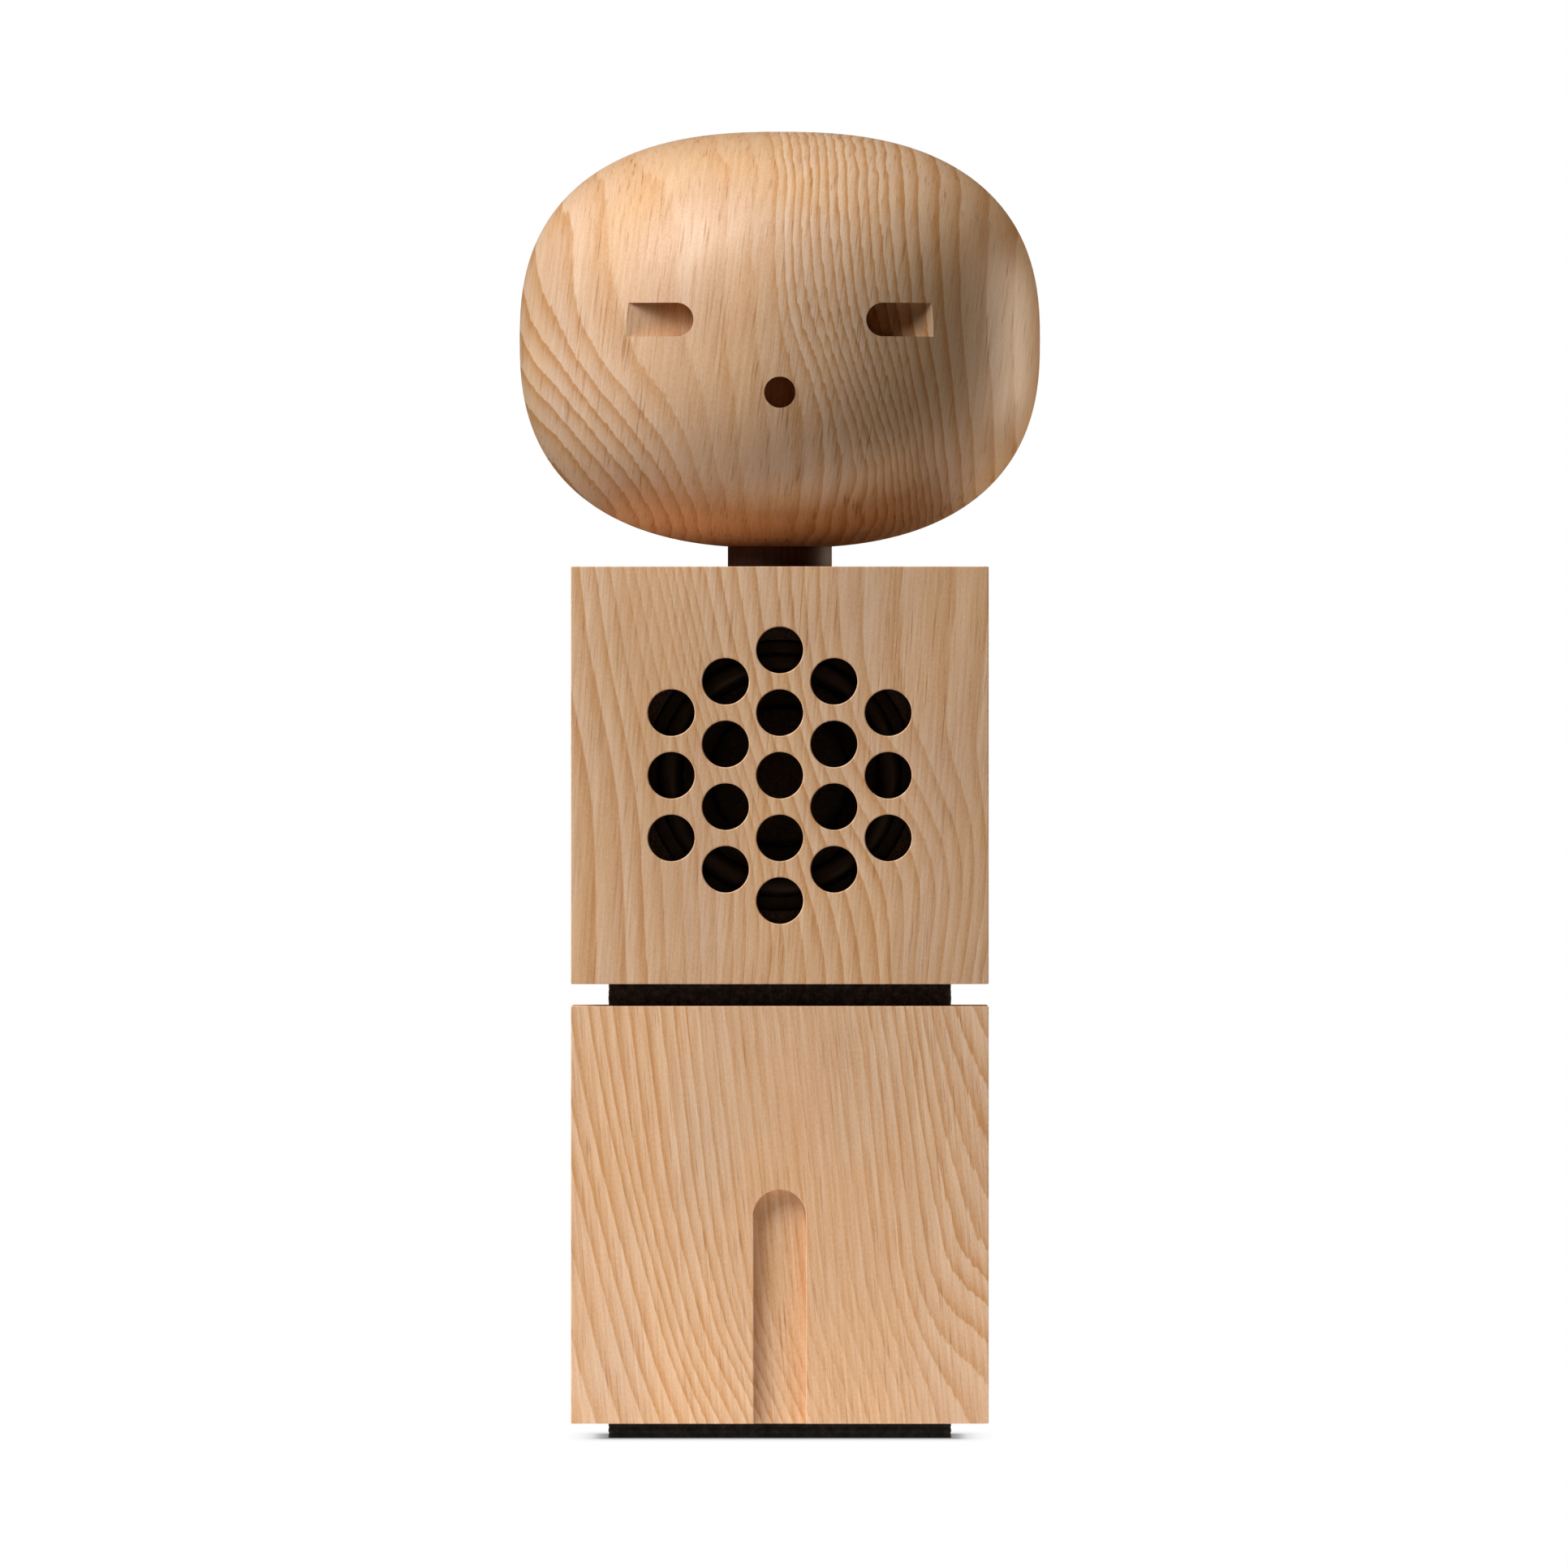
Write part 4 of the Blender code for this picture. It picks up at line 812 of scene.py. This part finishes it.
class DOLL_OT_chest(Operator):
    """Mills the chest block: grille, cavity, seats for the pad and the collar, and the rear opening"""

    bl_idname = "doll.chest"
    bl_label = "Chest block"

    def execute(self, context):
        sizes = context.scene.doll_sizes
        rim = sizes.rim
        face = -CHEST_LOW.y
        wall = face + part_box("driver_gasket")[0].y - GAP
        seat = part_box("panel_gasket")[0].y - GAP
        cavity = CHEST_HIGH.x * 2 - 14.6 * MM
        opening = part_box("rear_panel")[1].x * 2 + 2 * GAP
        cutters = [
            to_back(slab(rounded(cavity, cavity, 8 * MM), wall - face, seat + MM), CHEST),
            to_back(slab(rounded(opening, opening, 3.3 * MM), seat, CHEST_HIGH.y + PAST), CHEST),
        ]

        radius = sizes.hole_radius
        profile = [
            (0, face - wall - PAST), (radius, face - wall - PAST), (radius, face - rim),
            (radius + rim, face), (radius + 3 * rim, face + 2 * rim), (0, face + 2 * rim),
        ]
        places = grille_places(sizes.hole_rings, sizes.hole_pitch)
        cutters.append(to_front(joined([moved(spun(profile, 64), place) for place in places]), CHEST))

        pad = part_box("waist_pad")[1]
        side = pad.x * 2 + 2 * GAP
        cutters.append(slab(rounded(side, side, PAD_CORNER), CHEST_LOW.z - PAST, pad.z + GAP))
        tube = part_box("waist_tube")[1].x + GAP
        cutters.append(rod(tube, CHEST_LOW.z - PAST, CHEST.z - cavity / 4))
        collar_low, collar_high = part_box("neck_collar")
        collar = collar_high.x + GAP
        ceiling = CHEST_HIGH.z
        stepped = [
            (0, CHEST.z + cavity / 4), (BOLT_BORE, CHEST.z + cavity / 4),
            (BOLT_BORE, collar_low.z - GAP), (collar, collar_low.z - GAP), (collar, ceiling - rim),
            (collar + rim, ceiling), (collar + 3 * rim, ceiling + 2 * rim), (0, ceiling + 2 * rim),
        ]
        cutters.append(spun(stepped, 96))
        for kind in ("driver_screw", "panel_screw"):
            boxes = [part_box(f"{kind}_{number}") for number in (1, 2, 3, 4)]
            pilots = [rod(PILOT, -high.y, GAP * 2 - low.y, 24) for low, high in boxes]
            spots = [((low.x + high.x) / 2, 0, (low.z + high.z) / 2) for low, high in boxes]
            cutters.append(joined([to_front(made, spot) for made, spot in zip(pilots, spots)]))
        chest = carved(block(CHEST_LOW, CHEST_HIGH, sizes.arris), cutters)
        finish_piece("milled_chest", chest, ash("chest", CHEST), ["chest_block"], angle=12)
        return {"FINISHED"}


class DOLL_OT_legs(Operator):
    """Mills the leg block: the slot between the legs, the battery's cavity and the pads' seats"""

    bl_idname = "doll.legs"
    bl_label = "Leg block"

    def execute(self, context):
        sizes = context.scene.doll_sizes
        rim = sizes.rim
        pad_low, pad_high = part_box("waist_pad")
        plate_low, plate_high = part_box("base_plate")
        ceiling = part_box("waist_washer_lower")[1].z + GAP
        cavity = 44 * MM
        side = pad_high.x * 2 + 2 * GAP
        seat = plate_high.x * 2 + 2 * GAP
        cutters = [
            slab(rounded(cavity, cavity, 10 * MM), plate_low.z, ceiling),
            slab(rounded(seat, seat, PAD_CORNER), LEGS_LOW.z - PAST, plate_high.z + GAP),
            slab(rounded(side, side, PAD_CORNER), pad_low.z - GAP, LEGS_HIGH.z + PAST),
            rod(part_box("waist_tube")[1].x + GAP, ceiling - PAST, LEGS_HIGH.z + PAST),
        ]
        radius = sizes.slot_width / 2
        bottom = LEGS_LOW.z - LEGS.z
        centre_height = bottom + sizes.slot_height - radius

        def outline(grow):
            reach = radius + grow
            foot = bottom - PAST - grow
            return [*arc((0, centre_height), reach, 0, 180, 32), (-reach, foot), (reach, foot)]

        face = -LEGS_LOW.y
        chamfer = slab(outline(0), face - rim, face + rim, outline(2 * rim))
        for tool in (slab(outline(0), face - sizes.slot_depth, face + PAST), chamfer):
            cutters.append(to_front(tool, LEGS))
        pilots = []
        for number in (1, 2, 3, 4):
            low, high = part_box(f"base_screw_{number}")
            spot = ((low.x + high.x) / 2, (low.y + high.y) / 2, 0)
            pilots.append(moved(rod(PILOT, low.z, high.z + 2 * GAP, 24), spot))
        cutters.append(joined(pilots))
        legs = carved(block(LEGS_LOW, LEGS_HIGH, sizes.arris), cutters)
        finish_piece("milled_legs", legs, ash("legs", LEGS), ["leg_block"], angle=12)
        return {"FINISHED"}


def felt_block(low, high, corner, hole=0.0, layers=16, fray=0.1 * MM, seed=1):
    """A pad cut from pressed felt: its edges are soft, and its sides fray a little at each layer."""
    size = high - low
    bm = slab(rounded(size.x, size.y, corner, 4), low.z, high.z)
    if hole:
        bm = carved(bm, [rod(hole, low.z - MM, high.z + MM)])
    softened(bm, 0.12 * MM, 2)
    draw = random.Random(seed)
    levels = [low.z + size.z * (step + draw.uniform(-0.2, 0.2)) / layers for step in range(1, layers)]
    for level in levels:
        geometry = [*bm.verts, *bm.edges, *bm.faces]
        bmesh.ops.bisect_plane(bm, geom=geometry, dist=1e-7, plane_co=(0, 0, level), plane_no=(0, 0, 1))
    insets = {level: draw.uniform(0, fray) for level in levels}
    for vert in bm.verts:
        level = min(levels, key=lambda height: abs(height - vert.co.z))
        if abs(level - vert.co.z) < 1e-6:
            vert.co.xy *= 1 - insets[level] / high.x
    return bm


class DOLL_OT_pads(Operator):
    """Cuts the felt pads under the foot and at the waist"""

    bl_idname = "doll.pads"
    bl_label = "Felt pads"

    def execute(self, context):
        low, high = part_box("foot_pad")
        foot = felt_block(low, high, 1 * MM)
        finish_piece("felt_foot", foot, material(black_felt), ["foot_pad"])
        low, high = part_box("waist_pad")
        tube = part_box("waist_tube")[1].x + 2 * GAP
        waist = felt_block(low, high, 1 * MM, tube, seed=2)
        # The waist pad gets the lighter copy of the felt, with its painted light.
        painted_light_felt = material(felt_painted_lighter, slot="black_felt")
        finish_piece("felt_waist_painted_light", waist, painted_light_felt, ["waist_pad"])
        return {"FINISHED"}


class DOLL_OT_neck(Operator):
    """Turns the collar and its felt washer"""

    bl_idname = "doll.neck"
    bl_label = "Neck"

    def execute(self, context):
        low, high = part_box("neck_collar")
        edge = 0.4 * MM
        outline = [
            (BOLT_BORE, low.z),
            (high.x - edge, low.z),
            (high.x, low.z + edge),
            *arc((high.x - edge, high.z - edge), edge, 0, 90, 5),
            (BOLT_BORE, high.z),
        ]
        collar = spun(outline, 128, closed=True)
        finish_piece("turned_collar", collar, material(smoked_oak), ["neck_collar"])
        low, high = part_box("neck_felt_washer")
        edge = 0.2 * MM
        outline = [
            (BOLT_BORE, low.z),
            *arc((high.x - edge, low.z + edge), edge, -90, 0, 3),
            *arc((high.x - edge, high.z - edge), edge, 0, 90, 3),
            (BOLT_BORE, high.z),
        ]
        washer = spun(outline, 96, closed=True)
        finish_piece("felt_washer", washer, material(black_felt), ["neck_felt_washer"])
        return {"FINISHED"}


class DOLL_OT_loudspeaker(Operator):
    """Presses and moulds the cap, the cone, the surround, the spider and the gasket"""

    bl_idname = "doll.loudspeaker"
    bl_label = "Loudspeaker"

    def execute(self, context):
        # Outlines are spun about the driver's axis, with height 0 at the front of its flange.
        skin = 0.5 * MM
        gasket_low, gasket_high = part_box("driver_gasket")
        flange_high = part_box("driver_basket")[1]
        side, corner = 2 * flange_high.x, 9 * MM
        spot = 17.2 * MM

        rim, rise, base = 9.9 * MM, 3.0 * MM, -4.2 * MM
        angles = [math.pi / 2 * step / 20 for step in range(20)]
        outside = [(rim * math.cos(a), base + rise * math.sin(a)) for a in angles]
        inside = [((rim - skin) * math.cos(a), base + (rise - skin) * math.sin(a)) for a in angles]
        shell = [(0, base + rise - skin), *reversed(inside), *outside, (0, base + rise)]
        cap = to_front(spun(shell, 96), DRIVER)
        paper = material(black_paper_cone)
        finish_piece("pressed_dust_cap", cap, paper, ["dust_cap"], body="diaphragm")

        neck, deep, wide = 10.2 * MM, 5.2 * MM, 13.9 * MM

        def wall(reach, foot, order):
            """The cone's wall: it rises to just short of its lip, and sags a little on the way."""
            points = []
            for share in [step / 12 for step in order]:
                sag = 0.15 * MM * math.sin(math.pi * share)
                points.append((neck + reach * share, foot + (deep - skin) * share - sag))
            return points

        lip = wide - 1.5 * MM
        outline = [
            (neck, -deep),
            *wall(wide - neck, -deep, range(1, 12)),
            (wide, -skin),
            (wide, 0),
            (lip, 0),
            *wall(lip - neck, -deep + skin, range(11, 0, -1)),
            (neck, -deep + skin),
        ]
        cone = to_front(spun(outline, 96, closed=True), DRIVER)
        finish_piece("pressed_cone", cone, paper, ["cone"], body="diaphragm")

        centre, roll, lift = 15.9 * MM, 1.7 * MM, GAP
        over = arc((centre, lift + skin), roll, 180, 0, 16)
        under = arc((centre, lift), roll - skin, 0, 180, 16)
        # The roll starts just outside the cone, which passes it as it travels.
        flange = 19.2 * MM
        outline = [(centre - roll, lift), *over, (flange, lift + skin), (flange, lift), *under]
        roll_ring = to_front(spun(outline, 96, closed=True), DRIVER)
        finish_piece("moulded_surround", roll_ring, material(black_rubber), ["surround"])

        # Corrugated, and wide enough at its bore for the coil's turns to pass.
        inner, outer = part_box("voice_coil")[1].x + GAP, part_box("spider")[1].x
        level, swing, thick = DRIVER.y - middle("spider").y, 0.3 * MM, 0.2 * MM
        shares = [step / 64 for step in range(65)]
        wave = [
            (inner + (outer - inner) * share, level + swing * math.sin(math.tau * 4 * share))
            for share in shares
        ]
        outline = [(r, z - thick) for r, z in wave] + [(r, z + thick) for r, z in reversed(wave)]
        cloth = to_front(spun(outline, 72, closed=True), DRIVER)
        finish_piece("pressed_spider", cloth, material(spider_cloth), ["spider"])

        square = rounded(side, side, corner, 16)
        foam = slab(square, DRIVER.y - gasket_high.y, DRIVER.y - gasket_low.y)
        spots = [(sx * spot, sy * spot, 0) for sx in (1, -1) for sy in (1, -1)]
        holes = joined([moved(rod(PILOT, -PAST, PAST, 24), where) for where in spots])
        gasket = to_front(carved(foam, [rod(19.5 * MM, -PAST, PAST, 96), holes]), DRIVER)
        finish_piece("cut_gasket", gasket, material(grey_foam), ["driver_gasket"])
        return {"FINISHED"}


def countersunk(radius, shank, length, edge):
    """A flat-head screw with a hexagonal socket: its face is at z = 0 and its shank runs down."""
    outline = [
        (0, 0), (radius - edge, 0), (radius, -edge), (shank, -(radius - shank)),
        (shank, -length + shank), (0, -length),
    ]
    reach = radius * 0.5
    hexagon = [(reach * math.cos(k * math.pi / 3), reach * math.sin(k * math.pi / 3)) for k in range(6)]
    return carved(spun(outline, 48), [slab(hexagon, -radius * 0.5, radius)])


class DOLL_OT_back(Operator):
    """Cuts the rear panel and fits its screws, button, light and charging socket"""

    bl_idname = "doll.back"
    bl_label = "Rear panel"

    def execute(self, context):
        sizes = context.scene.doll_sizes
        low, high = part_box("rear_panel")
        origin = Vector((0, 0, CHEST.z))
        past = 2 * MM
        edge = 0.3 * MM
        side = 2 * high.x
        square = rounded(side, side, 3 * MM, 12)
        inset = rounded(side - 2 * edge, side - 2 * edge, 2.7 * MM, 12)
        board = carved(
            slab(square, low.y, high.y - edge), [slab(square, high.y - edge, high.y, inset)], "UNION"
        )
        button_low, button_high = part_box("power_button")
        socket_low, socket_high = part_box("charging_socket")
        button_radius = 3.5 * MM
        button_place = (0, -(middle("power_button").z - CHEST.z), 0)
        socket_place = (0, CHEST.z - middle("charging_socket").z, 0)
        wide, tall = socket_high.x * 2 + 2 * GAP, socket_high.z - socket_low.z + 2 * GAP
        mouth = rounded(wide, tall, tall * 0.497, 12)
        top = high.y
        rim = sizes.rim

        def bore(radius):
            """A through hole with a small chamfer at the panel's face."""
            return spun(
                [
                    (0, low.y - past), (radius, low.y - past), (radius, top - rim),
                    (radius + 2 * rim, top + rim), (0, top + rim),
                ],
                64,
            )

        screws = [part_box(f"panel_screw_{number}") for number in (1, 2, 3, 4)]
        spots = [((a.x + b.x) / 2, CHEST.z - (a.z + b.z) / 2, 0) for a, b in screws]
        head = (screws[0][1].x - screws[0][0].x) / 2
        flush = screws[0][1].y
        shank = 1.0 * MM
        sink = [
            (0, low.y - past), (shank + GAP, low.y - past), (shank + GAP, top - head + shank),
            (head + GAP, top), (head + GAP, top + past), (0, top + past),
        ]
        tools = [
            moved(bore(button_radius + GAP), button_place),
            bore(1.3 * MM),
            moved(slab(mouth, low.y - past, top + past), socket_place),
            joined([moved(spun(sink, 48), spot) for spot in spots]),
        ]
        for number in (1, 2):
            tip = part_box(f"board_screw_{number}")
            spot = ((tip[0].x + tip[1].x) / 2, CHEST.z - (tip[0].z + tip[1].z) / 2, 0)
            tools.append(moved(rod(PILOT, low.y - past, tip[1].y + 2 * GAP, 24), spot))
        panel = to_back(carved(board, tools), origin)
        grain = ash("panel", middle("rear_panel"))
        finish_piece("sawn_panel", panel, grain, ["rear_panel"], angle=12)

        steel = material(zinc_plated_steel)
        for number, spot in enumerate(spots, start=1):
            made = moved(countersunk(head, shank, 11.5 * MM, 0.1 * MM), (0, 0, flush))
            made = to_back(moved(made, spot), origin)
            name = f"panel_screw_{number}"
            finish_piece("fine_" + name, made, steel, [name])

        flange = button_low.y + MM
        outline = [
            (0, button_low.y),
            (button_radius + MM, button_low.y),
            (button_radius + MM, flange),
            (button_radius, flange),
            *arc((button_radius - edge, button_high.y - edge), edge, 0, 90, 6),
            # A shallow dish for the fingertip.
            (button_radius * 0.66, button_high.y - 0.06 * MM),
            (button_radius * 0.33, button_high.y - 0.16 * MM),
            (0, button_high.y - 0.2 * MM),
        ]
        button = to_back(moved(spun(outline, 72), button_place), origin)
        finish_piece("moulded_button", button, material(black_abs), ["power_button"], body="button")

        shell = rounded(socket_high.x * 2, tall - 2 * GAP, (tall - 2 * GAP) * 0.497, 12)
        wall = 0.4 * MM
        hollow = rounded(
            socket_high.x * 2 - 2 * wall, tall - 2 * GAP - 2 * wall, (tall - 2 * GAP) * 0.497 - wall, 12
        )
        floor = socket_high.y - 6.5 * MM
        body = carved(slab(shell, socket_low.y, socket_high.y), [slab(hollow, floor, top + past)])
        tongue = slab(rounded(6.7 * MM, 0.7 * MM, 0.15 * MM, 3), floor - MM, socket_high.y - MM)
        socket = to_back(moved(carved(body, [tongue], "UNION"), socket_place), origin)
        finish_piece("drawn_socket", socket, steel, ["charging_socket"])

        low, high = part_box("status_light")
        edge = 0.12 * MM
        round_edge = arc((high.x - edge, high.y - edge), edge, 0, 90, 4)
        outline = [(0, low.y), (high.x, low.y), *round_edge, (0, high.y)]
        pipe = to_back(spun(outline, 40), origin)
        finish_piece("light_pipe", pipe, material(clear_acrylic), ["status_light"])
        return {"FINISHED"}


class DOLL_OT_inside(Operator):
    """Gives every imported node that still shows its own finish"""

    bl_idname = "doll.inside"
    bl_label = "Packed pieces"

    def execute(self, context):
        finishes = {finish.__name__: finish for finish in FINISHES}
        for part in frame["record"]["subparts"]:
            node = frame["nodes"][part["node"]]
            if not node.hide_render:
                node.data.materials.clear()
                node.data.materials.append(material(finishes[part["material_slot"]]))
        return {"FINISHED"}


def stage_sheet(name, size, height, glow, colour="#FFFFFF"):
    """A square sheet of lit acrylic, which only glows. Returns it and its node tree."""
    bm = bmesh.new()
    bmesh.ops.create_grid(bm, x_segments=1, y_segments=1, size=size / 2)
    moved(bm, (0, 0, height))
    sheet = as_object(name, bm)
    lit = bpy.data.materials.new(name)
    lit.use_nodes = True
    tree = lit.node_tree
    glowing = {"Emission Color": linear(colour), "Emission Strength": glow}
    black = {"Base Color": (0, 0, 0, 1), "Specular IOR Level": 0.0}
    feed(tree, tree.nodes["Principled BSDF"], {**black, **glowing})
    sheet.data.materials.append(lit)
    return sheet, tree


class DOLL_OT_stage(Operator):
    """Lays the white floor and sets the lamps and the long-lens camera"""

    bl_idname = "doll.stage"
    bl_label = "Studio"

    def execute(self, context):
        scene = context.scene
        stage = scene.doll_stage
        # The camera sees a table top that only glows, with a painted shadow round the foot: its glow is
        # darkened by the distance from the foot pad, drawn out in front and behind. Two glowing sheets
        # under it light the doll from below.
        table, tree = stage_sheet("table_with_painted_shade", 3.0, 0.0, 1.0)
        place = add(tree, "TexCoord")
        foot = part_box("foot_pad")[1]
        beyond = add(tree, "VectorMath", {0: place.outputs["Object"]}, operation="ABSOLUTE")
        beyond = add(tree, "VectorMath", {0: beyond, 1: (foot.x, foot.y, 0)}, operation="SUBTRACT")
        beyond = add(tree, "VectorMath", {0: beyond, 1: (0, 0, 0)}, operation="MAXIMUM")
        drawn = (1, 1 / stage.painted_shade_stretch, 1)
        beyond = add(tree, "VectorMath", {0: beyond, 1: drawn}, operation="MULTIPLY")
        distance = add(tree, "VectorMath", {0: beyond}, operation="LENGTH")
        share = add(
            tree, "MapRange", {"Value": distance.outputs["Value"], "From Max": stage.painted_shade_reach}
        )
        # Painted shadow: the glow falls to about a quarter at the foot's edge and rises to full across the
        # shade's reach.
        lit = add(
            tree,
            "ValToRGB",
            {"Fac": share},
            stops=[(0.0, 0.26), (0.16, 0.42), (0.34, 0.76), (0.56, 0.92), (0.8, 0.985), (1.0, 1.0)],
        )
        feed(tree, tree.nodes["Principled BSDF"], {"Emission Color": lit})
        table.visible_diffuse = table.visible_glossy = table.visible_shadow = False
        near, _ = stage_sheet("near_glow", 0.24, -1 * MM, stage.floor_glow, "#FFFAF8")
        wide, _ = stage_sheet("wide_glow", 0.50, -2 * MM, stage.wide_glow, "#FFF4EA")
        near.visible_camera = wide.visible_camera = False

        aim = Vector((0, 0, 100 * MM))
        lamps = (
            ("key", (-0.514, -0.421, 0.744), 1.70, 0.85, stage.key_power, "#F8FAFF"),
            ("side", (-0.75, -0.45, 0.48), 0.95, 0.40, stage.side_power, "#F8FAFF"),
            ("top", (-0.25, -0.35, 0.90), 0.95, 0.50, stage.top_power, "#F8FAFF"),
            ("rim", (0.87, 0.55, 0.05), 0.95, 0.50, stage.rim_power, "#FFEBD0"),
        )
        for name, direction, away, size, watts, colour in lamps:
            lamp = bpy.data.lights.new(name, "AREA")
            lamp.energy = watts
            lamp.color = linear(colour)[:3]
            lamp.shape = "SQUARE"
            lamp.size = size
            made = bpy.data.objects.new(name, lamp)
            offset = Vector(direction).normalized() * away
            made.location = aim + offset
            made.rotation_euler = (-offset).to_track_quat("-Z", "Y").to_euler()
            made.visible_camera = False
            scene.collection.objects.link(made)

        world = bpy.data.worlds.new("white_surround")
        world.use_nodes = True
        world.node_tree.nodes["Background"].inputs["Color"].default_value = (1, 1, 1, 1)
        world.cycles_visibility.diffuse = False
        world.cycles_visibility.glossy = False
        scene.world = world
        scene.view_settings.view_transform = "Standard"

        lens = bpy.data.cameras.new("long_lens")
        lens.sensor_width = 36.0
        lens.lens = lens.sensor_width * stage.camera_distance / stage.frame_width
        lens.clip_end = 20.0
        camera = bpy.data.objects.new("long_lens", lens)
        camera.location = (0.6 * MM, -stage.camera_distance, stage.camera_height)
        camera.rotation_euler = (math.pi / 2, 0, 0)
        scene.collection.objects.link(camera)
        scene.camera = camera
        return {"FINISHED"}


class DOLL_PT_sidebar(Panel):
    """Lists the doll's sizes, finishes and operators"""

    bl_idname = "DOLL_PT_sidebar"
    bl_label = "Kokeshi Doll"
    bl_space_type = "VIEW_3D"
    bl_region_type = "UI"
    bl_category = "Doll"

    def draw(self, context):
        for group in (context.scene.doll_sizes, context.scene.doll_finish, context.scene.doll_stage):
            box = self.layout.box()
            for name in group.__annotations__:
                box.prop(group, name)
        for operator in OPERATORS:
            self.layout.operator(operator.bl_idname)


GROUPS = {"doll_sizes": DollSizes, "doll_finish": DollFinish, "doll_stage": DollStage}
OPERATORS = (
    DOLL_OT_head,
    DOLL_OT_chest,
    DOLL_OT_legs,
    DOLL_OT_pads,
    DOLL_OT_neck,
    DOLL_OT_loudspeaker,
    DOLL_OT_back,
    DOLL_OT_inside,
    DOLL_OT_stage,
)


def register():
    for made in (*GROUPS.values(), *OPERATORS, DOLL_PT_sidebar):
        bpy.utils.register_class(made)
    for name, group in GROUPS.items():
        setattr(bpy.types.Scene, name, PointerProperty(type=group))


def unregister():
    for name in GROUPS:
        delattr(bpy.types.Scene, name)
    for made in (DOLL_PT_sidebar, *reversed(OPERATORS), *GROUPS.values()):
        bpy.utils.unregister_class(made)


def main():
    register()
    bpy.ops.doll.head()
    bpy.ops.doll.chest()
    bpy.ops.doll.legs()
    bpy.ops.doll.pads()
    bpy.ops.doll.neck()
    bpy.ops.doll.loudspeaker()
    bpy.ops.doll.back()
    bpy.ops.doll.inside()
    bpy.ops.doll.stage()


if __name__ == "__main__":
    main()
